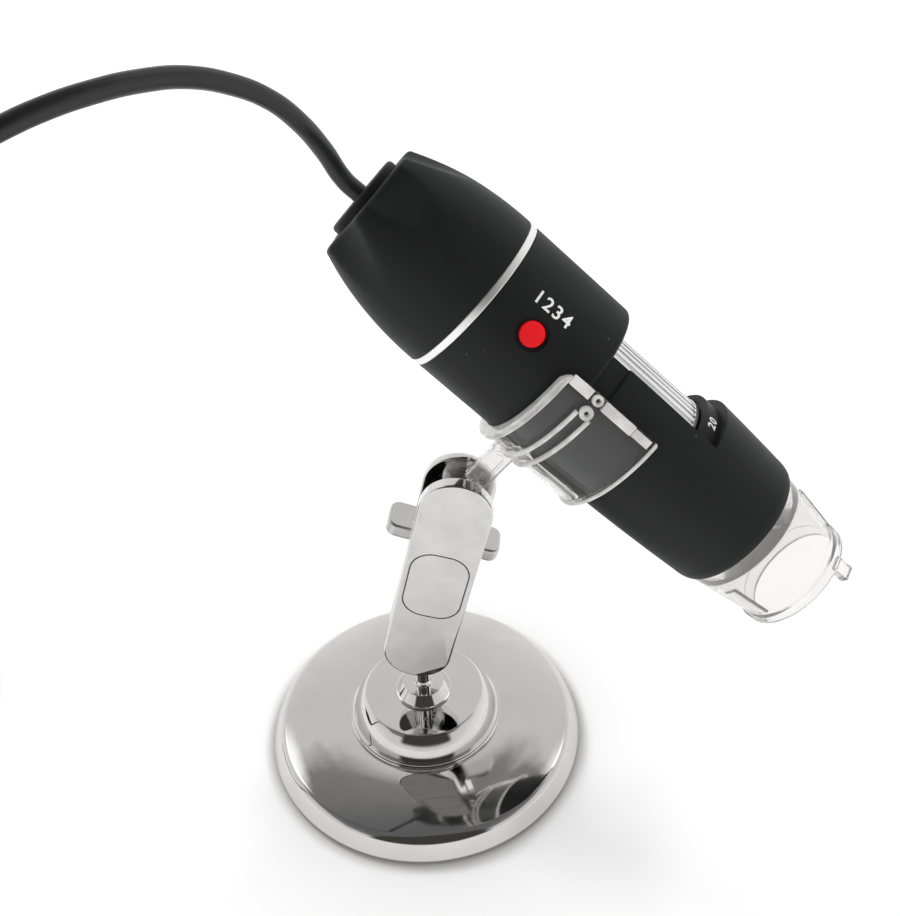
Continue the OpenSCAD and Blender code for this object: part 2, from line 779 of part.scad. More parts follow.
module arm_slab(y0, y1, bevel) {
    low = min(y0, y1);
    high = max(y0, y1);
    b0 = y0 < y1 ? bevel : 0;
    b1 = y0 < y1 ? 0 : bevel;
    for (z = [0, arm_pitch])
        translate([0, 0, z])
            rotate([-90, 0, 0])
                rotate_extrude()
                    polygon([[0, low], [arm_w - b0, low], [arm_w, low + b0], [arm_w, high - b1],
                        [arm_w - b1, high], [0, high]]);
    linear_extrude(height = arm_pitch)
        polygon([[-arm_w + b0, low], [arm_w - b0, low], [arm_w, low + b0], [arm_w, high - b1],
            [arm_w - b1, high], [-arm_w + b1, high], [-arm_w, high - b1], [-arm_w, low + b0]]);
}

module arm_rims(y0, y1) {
    for (x = [-arm_w, arm_w - rim_t])
        translate([x, min(y0, y1), rim_clear])
            cube([rim_t, abs(y1 - y0), arm_pitch - 2 * rim_clear]);
}

module rounded(w, h, r) {
    square([w, h - 2 * r], center = true);
    square([w - 2 * r, h], center = true);
    for (x = [-w / 2 + r, w / 2 - r])
        for (y = [-h / 2 + r, h / 2 - r])
            translate([x, y])
                circle(r = r);
}

module arm_front() color([0.66, 0.66, 0.67]) arm_place() {
    front = -gap_half - front_t;
    difference() {
        union() {
            arm_slab(front, -gap_half, 0.7);
            arm_rims(-gap_half - 0.2, -split);
            translate([0, -split, clamp_z])
                rotate([90, 0, 0])
                    cylinder(h = gap_half - split + 0.2, r = 4.2);
        }
        for (z = [0, arm_pitch])
            translate([0, 0, z])
                sphere(r = ball_r + fit);
        translate([0, 1, clamp_z])
            rotate([90, 0, 0])
                cylinder(h = gap_half + 2.6, r = bolt_r + fit);
        translate([0, front + 0.35, clamp_z + 1.5])
            rotate([90, 0, 0])
                linear_extrude(height = 1)
                    difference() {
                        rounded(13, 19, 5);
                        rounded(11.8, 17.8, 4.4);
                    }
    }
}

module arm_rear() color([0.6, 0.6, 0.61]) arm_place() {
    difference() {
        union() {
            arm_slab(rear_face, gap_half, 0.5);
            arm_rims(gap_half + 0.2, split);
            translate([0, gap_half + 0.2, clamp_z])
                rotate([90, 0, 0])
                    cylinder(h = gap_half - split + 0.2, r = 4.2);
        }
        for (z = [0, arm_pitch])
            translate([0, 0, z])
                sphere(r = ball_r + fit);
        translate([0, rear_face + 2, clamp_z])
            rotate([90, 0, 0])
                cylinder(h = rear_face + 4, r = bolt_r + 0.2);
    }
}

module clamp_bolt() color([0.6, 0.6, 0.62]) arm_place() {
    translate([0, nut_face + nut_over, clamp_z])
        rotate([90, 0, 0])
            cylinder(h = nut_face + nut_over + gap_half + 1.5, r = bolt_r);
}

module clamp_washer() color([0.6, 0.6, 0.62]) arm_place() {
    translate([0, rear_face, clamp_z])
        rotate([-90, 0, 0])
            pipe(0, washer_t, bolt_r + 0.2, washer_r);
}

module wing_nut() color([0.75, 0.76, 0.78]) arm_place() {
    ear_t = 3;
    hub_h = 5.2;
    translate([0, nut_face, clamp_z])
        rotate([0, wing_turned, 0])
            difference() {
                union() {
                    rotate([-90, 0, 0])
                        rotate_extrude()
                            polygon([[0, 0], [nut_foot_r, 0], [nut_foot_r, 0.6], [nut_top_r, hub_h], [0, hub_h]]);
                    for (x = [-1, 1]) {
                        translate([x > 0 ? 2 : ear_t / 2 - wing_span, 2, -ear_t / 2])
                            cube([wing_span - ear_t / 2 - 2, 6.5, ear_t]);
                        translate([x * (wing_span - ear_t / 2), 2, 0])
                            rotate([-90, 0, 0])
                                cylinder(h = 6.5, r = ear_t / 2, $fn = 32);
                    }
                }
                translate([0, -1, 0])
                    rotate([-90, 0, 0])
                        cylinder(h = 12, r = bolt_r + fit);
            }
}

module cord_lead() color([0.06, 0.06, 0.065]) {
    tube(lead_route, cord_r, 8);
}

module cord_coil() color([0.06, 0.06, 0.065]) {
    tube(coil_route, cord_r, 6);
}

module cord_tie() color([0.1, 0.1, 0.1]) {
    inner = coil_r - coil_pitch * coil_turns / 2 - cord_r - 0.5;
    outer = coil_r + cord_r + 0.4;
    top = coil_z + coil_pitch + cord_r + 0.1;
    translate(coil_c)
        rotate([0, 0, tie_angle])
            translate([0, -3, 0])
                difference() {
                    translate([inner - tie_t, 0, 0])
                        cube([outer - inner + 2 * tie_t, 6, top + tie_t]);
                    translate([inner, -1, tie_t])
                        cube([outer - inner, 8, top - tie_t]);
                }
}

module cord_tail() color([0.06, 0.06, 0.065]) {
    tube(tail_route, cord_r, 8);
}

module plug_boot() color([0.05, 0.05, 0.055]) plug_place(plug_y) {
    difference() {
        cylinder(h = boot_len, r1 = cord_r + 0.6, r2 = 3.6);
        for (i = [1:3])
            translate([0, 0, 2.2 * i])
                pipe(0, 0.8, cord_r + 0.4 + 0.12 * i, 6);
    }
}

module plug_grip() color([0.05, 0.05, 0.055]) plug_place(plug_y + boot_len) {
    linear_extrude(height = grip_len)
        rounded(grip_w, grip_h, 1.8);
}

module plug_shell() color([0.75, 0.76, 0.78]) plug_place(plug_y + boot_len + grip_len) {
    difference() {
        translate([-6, -2.25, 0])
            cube([12, 4.5, shell_len]);
        translate([-5.7, -1.95, 0.6])
            cube([11.4, 3.9, shell_len]);
        for (x = [-3, 3])
            translate([x - 1.2, -3, 7])
                cube([2.4, 6, 2.4]);
    }
}

module plug_tongue() color([0.9, 0.9, 0.88]) plug_place(plug_y + boot_len + grip_len) {
    translate([-5.65, 0.05, 0.6])
        cube([11.3, 1.85, shell_len - 1.4]);
    for (x = [-3.5, -1, 1, 3.5])
        translate([x - 0.6, -0.1, 8])
            cube([1.2, 0.2, shell_len - 9]);
}

tail_cap();
cable_gland();
trim_ring();
main_sleeve();
snap_button();
button_board();
button_switch();
sensor_board();
image_sensor();
board_screws();
lens_tube();
focus_wheel();
lens_barrel();
focus_pin();
front_lens();
rear_lens();
lens_retainer();
front_housing();
led_board();
leds();
led_screws();
nose_cap();
lead_stub();
cord_clamp();
lead_wires();
clip();
base_dish();
base_weight();
foot_pad();
ball_stud();
stud_nut();
arm_front();
arm_rear();
clamp_bolt();
clamp_washer();
wing_nut();
cord_lead();
cord_coil();
cord_tie();
cord_tail();
plug_boot();
plug_grip();
plug_shell();
plug_tongue();
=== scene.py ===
"""Looks of a USB microscope in a clear clip on a ball-jointed chrome stand.

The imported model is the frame. Each sub-assembly is a class that holds its sizes in millimetres, models the pieces
that need a finer surface than the solids have, and dresses the solids that stay.
"""

import logging
import math
from dataclasses import dataclass
from enum import Enum

import bpy
from mathutils import Matrix, Vector


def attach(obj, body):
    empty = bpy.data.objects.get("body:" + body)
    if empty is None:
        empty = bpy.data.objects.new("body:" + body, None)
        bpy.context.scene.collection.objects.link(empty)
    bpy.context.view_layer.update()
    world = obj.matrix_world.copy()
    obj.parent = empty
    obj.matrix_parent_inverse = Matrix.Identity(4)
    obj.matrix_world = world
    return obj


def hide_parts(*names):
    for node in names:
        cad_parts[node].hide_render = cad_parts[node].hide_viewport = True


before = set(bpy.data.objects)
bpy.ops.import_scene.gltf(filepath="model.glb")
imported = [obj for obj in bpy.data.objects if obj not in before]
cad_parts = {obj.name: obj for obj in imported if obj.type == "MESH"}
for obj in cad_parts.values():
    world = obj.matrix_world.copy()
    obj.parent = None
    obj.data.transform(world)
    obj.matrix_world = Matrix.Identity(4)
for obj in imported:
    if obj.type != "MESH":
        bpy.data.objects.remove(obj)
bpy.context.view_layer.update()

MM = 0.001
SLACK = 0.05  # clearance between pieces that fit together, in millimetres
SAME = 2e-6  # points nearer than this, in metres, are one point
LOG = logging.getLogger("microscope")

Outline = list[tuple[float, float]]
Corner = Point = Colour = tuple[float, float, float]
Span = tuple[float, float]
Piece = bpy.types.Object
Socket = bpy.types.NodeSocket
Tree = bpy.types.NodeTree


class Body(Enum):
    """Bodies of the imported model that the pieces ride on."""

    BASE = "base"
    STUD = "stud"
    ARM = "arm"
    CLAMP_HALF = "clamp_half"
    WING = "wing"
    HOLDER = "holder"
    WHEEL = "wheel"
    BUTTON = "button"
    SCOPE = "scope"


class Join(Enum):
    """Ways in which one mesh works on another."""

    CUT = "DIFFERENCE"
    WELD = "UNION"


def shift(x: float = 0, y: float = 0, z: float = 0) -> Matrix:
    """Return a move, given in millimetres."""
    return Matrix.Translation((x * MM, y * MM, z * MM))


def turned(angle: float, axis: str = "Z") -> Matrix:
    """Return a turn about an axis, given in degrees."""
    return Matrix.Rotation(math.radians(angle), 4, axis)


@dataclass(frozen=True)
class Pose:
    """Where the arm and the microscope stand, in millimetres and degrees."""

    ball_z: float = 33.4
    arm_pitch: float = 42.8
    arm_lean: float = 13.2
    dip: float = 40.7
    heading: float = -10.0
    reach: float = 33.68
    stem_angle: float = 162.4
    clip_s: float = 51.4

    def arm(self) -> Matrix:
        """Return the arm's frame, with its origin in the lower ball."""
        return shift(z=self.ball_z) @ turned(self.arm_lean, "Y")

    def along(self) -> Vector:
        """Return the direction from the microscope's tail to its nose."""
        dip, head = math.radians(self.dip), math.radians(self.heading)
        return Vector((math.cos(dip) * math.cos(head), math.cos(dip) * math.sin(head), -math.sin(dip)))

    def scope(self) -> Matrix:
        """Find the microscope's frame, with its origin in the tail face and Z towards the nose.

        Returns:
            The frame, in metres.
        """
        dip, head, stem = math.radians(self.dip), math.radians(self.heading), math.radians(self.stem_angle)
        up = Vector((math.sin(dip) * math.cos(head), math.sin(dip) * math.sin(head), math.cos(dip)))
        side = Vector((math.sin(head), -math.cos(head), 0))
        ball = self.arm() @ Vector((0, 0, self.arm_pitch * MM))
        tail = ball - MM * (self.reach * (math.cos(stem) * up + math.sin(stem) * side) + self.clip_s * self.along())
        turn = Matrix((up, side, self.along())).transposed().to_4x4()
        return Matrix.Translation(tail) @ turn

    def radial(self, station: float, angle: float) -> Matrix:
        """Return a frame on the microscope's axis at a station, whose Z points out of its side at an angle."""
        return self.scope() @ shift(z=station) @ turned(angle) @ turned(90, "Y")


POSE = Pose()


def softened(corners: list[Corner], fine: int = 5) -> Outline:
    """Round the corners of a closed outline.

    Args:
        corners: x, y and fillet radius of each corner.
        fine: steps in each fillet.

    Returns:
        The rounded outline.
    """
    straight, most = 1.55, 0.48  # half angle of a straight run, and share of a side that a fillet may take
    outline: Outline = []
    for i, (x, y, radius) in enumerate(corners):
        here = Vector((x, y))
        back = Vector(corners[i - 1][:2]) - here
        ahead = Vector(corners[(i + 1) % len(corners)][:2]) - here
        half = back.angle(ahead) / 2 if radius > 0 else 0
        if radius <= 0 or half > straight:
            outline.append((x, y))
            continue
        cut = min(radius / math.tan(half), most * back.length, most * ahead.length)
        middle = here + (back.normalized() + ahead.normalized()).normalized() * cut / math.cos(half)
        start = here + back.normalized() * cut - middle
        stop = here + ahead.normalized() * cut - middle
        swing = math.pi - 2 * half
        for k in range(fine + 1):
            t = k / fine
            at = (math.sin((1 - t) * swing) * start + math.sin(t * swing) * stop) / math.sin(swing) + middle
            outline.append((at.x, at.y))
    return outline


def ball_line(radius: float, middle: float, neck: float, steps: int) -> Outline:
    """Return the outline of a ball from where its neck meets it.

    Args:
        radius: radius of the ball.
        middle: height of its middle.
        neck: radius of the neck below it.
        steps: steps up to the pole, which is left out.

    Returns:
        Radius and height of each point.
    """
    start = math.asin(neck / radius)
    return [(radius * math.sin(a), middle - radius * math.cos(a))
            for a in (start + (math.pi - start) * k / steps for k in range(steps))]


class Bench:
    """Hand operations on one piece at a time."""

    @staticmethod
    def clear() -> None:
        """Leave edit mode and drop every selection."""
        if bpy.context.object and bpy.context.object.mode != "OBJECT":
            bpy.ops.object.mode_set(mode="OBJECT")
        bpy.ops.object.select_all(action="DESELECT")

    @staticmethod
    def hold(piece: Piece) -> None:
        """Make one piece the only selected and active one.

        Args:
            piece: the piece to hold.
        """
        Bench.clear()
        piece.select_set(True)
        bpy.context.view_layer.objects.active = piece

    @staticmethod
    def added(name: str, data: bpy.types.ID) -> Piece:
        """Add an object with its data to the scene.

        Args:
            name: name of the object.
            data: its mesh, curve, lamp or camera.

        Returns:
            The object.
        """
        piece = bpy.data.objects.new(name, data)
        bpy.context.scene.collection.objects.link(piece)
        return piece

    @staticmethod
    def named(name: str) -> Piece:
        """Name the piece that was just added.

        Args:
            name: name of the piece and of its mesh.

        Returns:
            The piece.
        """
        piece = bpy.context.object
        piece.name = piece.data.name = name
        return piece

    @staticmethod
    def lathe(name: str, outline: Outline, steps: int, sweep: float = 360, middle: float = 0) -> Piece:
        """Spin an outline about the Z axis.

        Args:
            name: name of the piece.
            outline: radius and height of each point; an edge along the axis is left out.
            steps: steps around.
            sweep: angle that is swept, in degrees.
            middle: angle at the middle of a part sweep.

        Returns:
            The piece, in its own frame.
        """
        Bench.clear()
        bpy.ops.mesh.primitive_plane_add(size=MM)
        piece = Bench.named(name)
        bpy.ops.object.mode_set(mode="EDIT")
        bpy.ops.mesh.select_all(action="SELECT")
        bpy.ops.mesh.merge(type="CENTER")
        bpy.ops.transform.translate(value=(outline[0][0] * MM, 0, outline[0][1] * MM))
        on_axis = outline[0][0] == 0 and outline[-1][0] == 0
        path = outline if on_axis else outline + outline[:1]
        for (r0, z0), (r1, z1) in zip(path, path[1:]):
            step = ((r1 - r0) * MM, 0, (z1 - z0) * MM)
            bpy.ops.mesh.extrude_region_move(TRANSFORM_OT_translate={"value": step})
        Bench.weld()
        bpy.ops.mesh.spin(steps=steps, angle=math.radians(sweep), center=(0, 0, 0), axis=(0, 0, 1))
        Bench.weld()
        if sweep < 360:
            bpy.ops.mesh.fill_holes(sides=0)
        Bench.close()
        if sweep < 360:
            centre = sum((v.co for v in piece.data.vertices), Vector())
            Bench.place(piece, turned(middle - math.degrees(math.atan2(centre.y, centre.x))))
        return piece

    @staticmethod
    def weld() -> None:
        """Select the whole mesh in edit mode, with its doubled points made one."""
        bpy.ops.mesh.select_all(action="SELECT")
        bpy.ops.mesh.remove_doubles(threshold=SAME)
        bpy.ops.mesh.select_all(action="SELECT")

    @staticmethod
    def close() -> None:
        """Turn every face outwards and leave edit mode."""
        bpy.ops.mesh.select_all(action="SELECT")
        bpy.ops.mesh.normals_make_consistent(inside=False)
        bpy.ops.object.mode_set(mode="OBJECT")

    @staticmethod
    def place(piece: Piece, where: Matrix) -> None:
        """Move a piece and put its place into its mesh.

        Args:
            piece: the piece to move.
            where: its place.
        """
        Bench.hold(piece)
        piece.matrix_world = where
        bpy.ops.object.transform_apply(location=True, rotation=True, scale=True)

    @staticmethod
    def modify(piece: Piece, kind: str, **settings: object) -> None:
        """Put a modifier with its settings on a piece and apply it.

        Args:
            piece: the piece to change.
            kind: type of the modifier.
            settings: the modifier's own settings.
        """
        step = piece.modifiers.new(kind, kind)
        for name, value in settings.items():
            setattr(step, name, value)
        Bench.hold(piece)
        bpy.ops.object.modifier_apply(modifier=step.name)

    @staticmethod
    def work(piece: Piece, tool: Piece, join: Join) -> None:
        """Cut a tool out of a piece, or weld it on, and drop the tool."""
        Bench.modify(piece, "BOOLEAN", operation=join.value, solver="EXACT", object=tool)
        Bench.drop(tool)

    @staticmethod
    def ease(piece: Piece, width: float, segments: int = 3, angle: float = 40) -> None:
        """Round every edge of a piece that is sharper than an angle."""
        Bench.modify(piece, "BEVEL", width=width * MM, segments=segments, limit_method="ANGLE",
                     angle_limit=math.radians(angle), miter_outer="MITER_ARC")

    @staticmethod
    def plate(name: str, size: Span, radius: float, span: Span, fine: int) -> Piece:
        """Extrude a rounded rectangle along Y.

        Args:
            name: name of the piece.
            size: width along X and height along Z.
            radius: radius of its corners.
            span: where it starts and stops along Y.
            fine: steps in each corner.

        Returns:
            The plate, centred on the Y axis.
        """
        Bench.clear()
        bpy.ops.mesh.primitive_circle_add(vertices=4 * fine, radius=radius * MM, fill_type="NGON")
        piece = Bench.named(name)
        for i, v in enumerate(piece.data.vertices):
            turn = (i + 0.5) * math.pi / (2 * fine)
            x, z = math.cos(turn), math.sin(turn)
            v.co = MM * Vector((radius * x + math.copysign(size[0] / 2 - radius, x), span[0],
                                radius * z + math.copysign(size[1] / 2 - radius, z)))
        bpy.ops.object.mode_set(mode="EDIT")
        bpy.ops.mesh.select_all(action="SELECT")
        bpy.ops.mesh.extrude_region_move(TRANSFORM_OT_translate={"value": (0, (span[1] - span[0]) * MM, 0)})
        Bench.close()
        return piece

    @staticmethod
    def block(name: str, low: Point, high: Point, ease: float = 0) -> Piece:
        """Add a block between two corners and round its edges.

        Args:
            name: name of the piece.
            low: its lowest corner.
            high: its highest corner.
            ease: width of the bevel on its edges, 0 for none.

        Returns:
            The block.
        """
        Bench.clear()
        bpy.ops.mesh.primitive_cube_add(size=MM)
        piece = Bench.named(name)
        middle = Vector(low).lerp(Vector(high), 0.5) * MM
        Bench.place(piece, Matrix.Translation(middle) @ Matrix.Diagonal((*(b - a for a, b in zip(low, high)), 1)))
        if ease:
            Bench.ease(piece, ease)
        return piece

    @staticmethod
    def copy(piece: Piece, name: str, where: Matrix) -> Piece:
        """Copy a piece with a mesh of its own and put it somewhere else.

        Args:
            piece: the piece to copy.
            name: name of the copy.
            where: place of the copy.

        Returns:
            The copy.
        """
        twin = Bench.added(name, piece.data.copy())
        twin.data.name = name
        Bench.place(twin, where)
        return twin

    @staticmethod
    def drop(piece: Piece) -> None:
        """Throw away a piece that only served as a pattern or a tool."""
        bpy.data.objects.remove(piece, do_unlink=True)

    @staticmethod
    def gather(name: str, pieces: list[Piece]) -> Piece:
        """Join separate pieces into one.

        Args:
            name: name of the joined piece.
            pieces: the pieces to join.

        Returns:
            The joined piece.
        """
        Bench.hold(pieces[0])
        for piece in pieces[1:]:
            piece.select_set(True)
        bpy.ops.object.join()
        return Bench.named(name)

    @staticmethod
    def round_rim(piece: Piece, y: float, width: float, segments: int) -> None:
        """Bevel the rim of a plate at one of its two faces.

        Args:
            piece: the plate, still unturned.
            y: where the face is.
            width: width of the bevel.
            segments: steps in it.
        """
        Bench.hold(piece)
        bpy.ops.object.mode_set(mode="EDIT")
        bpy.ops.mesh.select_mode(type="EDGE")
        bpy.ops.mesh.select_all(action="DESELECT")
        bpy.ops.object.mode_set(mode="OBJECT")
        points = piece.data.vertices
        for edge in piece.data.edges:
            edge.select = all(abs(points[i].co.y - y * MM) < SAME / 2 for i in edge.vertices)
        bpy.ops.object.mode_set(mode="EDIT")
        bpy.ops.mesh.bevel(offset=width * MM, segments=segments, affect="EDGES")
        bpy.ops.mesh.select_mode(type="VERT")
        bpy.ops.object.mode_set(mode="OBJECT")

    @staticmethod
    def smooth(piece: Piece, angle: float) -> None:
        """Shade a piece smooth, with its flats kept flat beside their rounded edges.

        Args:
            piece: the piece to shade.
            angle: angle from which an edge stays sharp.
        """
        Bench.hold(piece)
        bpy.ops.object.shade_smooth_by_angle(angle=math.radians(angle))
        Bench.modify(piece, "WEIGHTED_NORMAL", keep_sharp=True)


def grown(tree: Tree, kind: str, sockets: dict[str | int, object], out: str | int = 0, **traits: object) -> Socket:
    """Add a node to a tree.

    Args:
        tree: tree that it grows in.
        kind: type of the node, without its prefix.
        sockets: value, or output of another node, for its inputs.
        out: output that is wanted.
        traits: settings of the node itself.

    Returns:
        The output.
    """
    node = tree.nodes.new("ShaderNode" + kind)
    for name, value in traits.items():
        setattr(node, name, value)
    for key, value in sockets.items():
        if isinstance(value, Socket):
            tree.links.new(value, node.inputs[key])
        else:
            node.inputs[key].default_value = value
    return node.outputs[out]


def blended(tree: Tree, fac: Socket, first: Socket | Colour, second: Colour) -> Socket:
    """Return a colour that goes from the first, an output or a colour, to the second as fac goes from 0 to 1."""
    first = first if isinstance(first, Socket) else (*first, 1)
    return grown(tree, "Mix", {"Factor": fac, "A": first, "B": (*second, 1)}, "Result", data_type="RGBA")


class Surface:
    """Node tree of one material, grown a node at a time around its shader."""

    def __init__(self, name: str) -> None:
        """Start a material with its shader and its object coordinates.

        Args:
            name: name of the material.
        """
        self.material = bpy.data.materials.new(name)
        self.material.use_nodes = True
        self.tree = self.material.node_tree
        self.shader = self.tree.nodes["Principled BSDF"]
        self.spot = grown(self.tree, "TexCoord", {}, "Object")
        self.relief: Socket | None = None

    def set(self, **values: object) -> None:
        """Set plain values on the shader, by socket name with _ for a space."""
        for name, value in values.items():
            self.shader.inputs[name.replace("_", " ")].default_value = value

    def feed(self, name: str, output: Socket) -> None:
        """Lead an output into one of the shader's sockets."""
        self.tree.links.new(output, self.shader.inputs[name])

    def mapped(self, where: Matrix) -> Socket:
        """Turn the object's coordinates into those of another frame.

        Args:
            where: the frame, in metres.

        Returns:
            The coordinates seen from that frame.
        """
        back = where.inverted()
        return grown(self.tree, "Mapping", {"Location": back.to_translation(), "Rotation": back.to_euler("XYZ"),
                                            "Vector": self.spot})

    def noise(self, scale: float, detail: float = 3) -> Socket:
        """Return noise of so many grains a metre."""
        return grown(self.tree, "TexNoise", {"Scale": scale, "Detail": detail, "Vector": self.spot}, "Fac")

    def specks(self, scale: float, size: float) -> Socket:
        """Return sparse round specks, 1 inside and 0 outside."""
        away = grown(self.tree, "TexVoronoi", {"Scale": scale, "Vector": self.spot}, "Distance")
        return self.span(away, size, 0.4 * size, 0, 1)

    def rings(self, scale: float, spot: Socket, axis: str, wobble: float) -> Socket:
        """Return rings about an axis of the given coordinates."""
        return grown(self.tree, "TexWave", {"Scale": scale, "Distortion": wobble, "Detail": 3, "Vector": spot}, "Fac",
                     wave_type="RINGS", rings_direction=axis)

    def span(self, fac: Socket, start: float, stop: float, low: float, high: float) -> Socket:
        """Return a value that goes from low to high as fac goes from start to stop."""
        return grown(self.tree, "MapRange", {"From Min": start, "From Max": stop, "To Min": low, "To Max": high,
                                             "Value": fac})

    def paint(self, fac: Socket, first: Socket | Colour, second: Colour) -> None:
        """Let the shader's colour go from the first to the second as fac goes from 0 to 1."""
        self.feed("Base Color", blended(self.tree, fac, first, second))

    def patches(self, fac: Socket, colour: Colour, share: float, edge: float = 0.35) -> Socket:
        """Return a colour that goes to a share of itself in soft patches."""
        return blended(self.tree, self.span(fac, edge, 1 - edge, 0, 1), colour, tuple(share * c for c in colour))

    def gloss(self, fac: Socket, low: float, high: float, start: float = 0.3, stop: float = 0.7) -> None:
        """Let the roughness go from low to high as fac goes from start to stop."""
        self.feed("Roughness", self.span(fac, start, stop, low, high))

    def bump(self, height: Socket, strength: float, distance: float) -> None:
        """Add a relief to the shader's normal.

        Args:
            height: pattern of the relief.
            strength: share of the relief that shows.
            distance: its depth in millimetres.
        """
        sockets = {"Strength": strength, "Distance": distance * MM, "Height": height}
        if self.relief:
            sockets["Normal"] = self.relief
        self.relief = grown(self.tree, "Bump", sockets, "Normal")
        self.feed("Normal", self.relief)


@dataclass(frozen=True)
class Finish:
    """A plain moulded finish, with grain in its colour, gloss and relief."""

    name: str
    slot: str
    colour: Colour
    rough: float = 0.5
    grain: float = 2500
    depth: float = 0.01
    vary: float = 0.12
    shine: float = 0.5

    def grow(self, surface: Surface) -> None:
        """Build the finish's own nodes.

        Args:
            surface: the material that is being built.
        """
        fine = surface.noise(self.grain)
        broad = surface.noise(self.grain / 40)
        surface.set(Specular_IOR_Level=self.shine)
        dark = tuple(c * (1 - self.vary) for c in self.colour)
        light = tuple(min(1.0, c * (1 + self.vary)) for c in self.colour)
        surface.paint(surface.span(broad, 0.35, 0.65, 0, 1), dark, light)
        surface.gloss(fine, self.rough * 0.88, min(1.0, self.rough * 1.12))
        surface.bump(fine, 0.25, self.depth)

    def material(self) -> bpy.types.Material:
        """Build the finish's material the first time it is asked for.

        Returns:
            The material, one for all its pieces.
        """
        made = bpy.data.materials.get(self.name)
        if made:
            return made
        surface = Surface(self.name)
        self.grow(surface)
        return surface.material


@dataclass(frozen=True)
class SoftTouch(Finish):
    """Rubbery black paint: a fine matt grain, pale at a glance, with a few specks of dust."""

    dust: Colour = (0.22, 0.22, 0.21)

    def grow(self, surface: Surface) -> None:
        """Build the finish's own nodes.

        Args:
            surface: the material that is being built.
        """
        fine = surface.noise(self.grain, 4)
        broad = surface.noise(70, 4)
        surface.paint(surface.specks(260, 0.035), surface.patches(broad, self.colour, 1.5), self.dust)
        surface.gloss(broad, self.rough - 0.05, self.rough + 0.06)
        surface.set(Sheen_Weight=0.012, Sheen_Roughness=0.35, Specular_IOR_Level=0.26)
        surface.bump(fine, 0.1, self.depth)


@dataclass(frozen=True)
class Plated(Finish):
    """Bright plating: clear reflections with faint waves, smears and hair scratches."""

    wave: float = 0.05

    def grow(self, surface: Surface) -> None:
        """Build the finish's own nodes.

        Args:
            surface: the material that is being built.
        """
        smear = surface.noise(90, 5)
        surface.set(Metallic=1.0)
        surface.feed("Base Color", surface.patches(smear, self.colour, 0.93, 0.3))
        surface.gloss(smear, self.rough, self.rough + 0.07, 0.42, 0.72)
        surface.bump(surface.noise(150, 2), self.wave, 0.3)
        surface.bump(surface.noise(9000, 2), 0.015, 0.01)


@dataclass(frozen=True)
class Satin(Finish):
    """Polished die-cast metal with the fine rings that the polishing wheel leaves."""

    wheel_z: float = 30.0

    def grow(self, surface: Surface) -> None:
        """Build the finish's own nodes.

        Args:
            surface: the material that is being built.
        """
        marks = surface.rings(900, surface.mapped(POSE.arm() @ shift(z=self.wheel_z)), "Y", 14)
        patch = surface.noise(160, 4)
        surface.set(Metallic=0.8, Anisotropic=0.2)
        pitted = tuple(0.6 * c for c in self.colour)
        surface.paint(surface.specks(420, 0.05), surface.patches(patch, self.colour, 0.9), pitted)
        surface.gloss(marks, self.rough - 0.05, self.rough + 0.06, 0, 1)
        surface.bump(marks, 0.05, 0.02)
        surface.bump(patch, 0.05, 0.15)


@dataclass(frozen=True)
class Clear(Finish):
    """Clear moulded plastic or glass with faint flow marks."""

    bend: float = 1.49
    clear: float = 1.0
    cloud: float = 0.0

    def grow(self, surface: Surface) -> None:
        """Build the finish's own nodes.

        Args:
            surface: the material that is being built.
        """
        flow = surface.noise(130, 2)
        surface.set(Transmission_Weight=self.clear, IOR=self.bend)
        # transmission varies in soft patches: on the bright edges this mottling is painted highlight, on the bars
        # uneven frosting
        if self.cloud:
            least, most = self.clear - self.cloud, self.clear + self.cloud
            surface.feed("Transmission Weight", surface.span(surface.noise(240, 2), 0.38, 0.62, least, most))
        surface.feed("Base Color", surface.patches(flow, self.colour, 0.98))
        surface.gloss(surface.noise(1400), self.rough, self.rough + 0.012)
        surface.bump(flow, 0.06, 0.15)


@dataclass(frozen=True)
class Jacket(Finish):
    """Satin cord jacket with a faint drawn grain."""

    def grow(self, surface: Surface) -> None:
        """Build the finish's own nodes.

        Args:
            surface: the material that is being built.
        """
        fine = surface.noise(1800, 4)
        surface.feed("Base Color", surface.patches(surface.noise(60), self.colour, 1.6))
        surface.gloss(fine, self.rough - 0.06, self.rough + 0.08)
        surface.bump(fine, 0.12, 0.02)


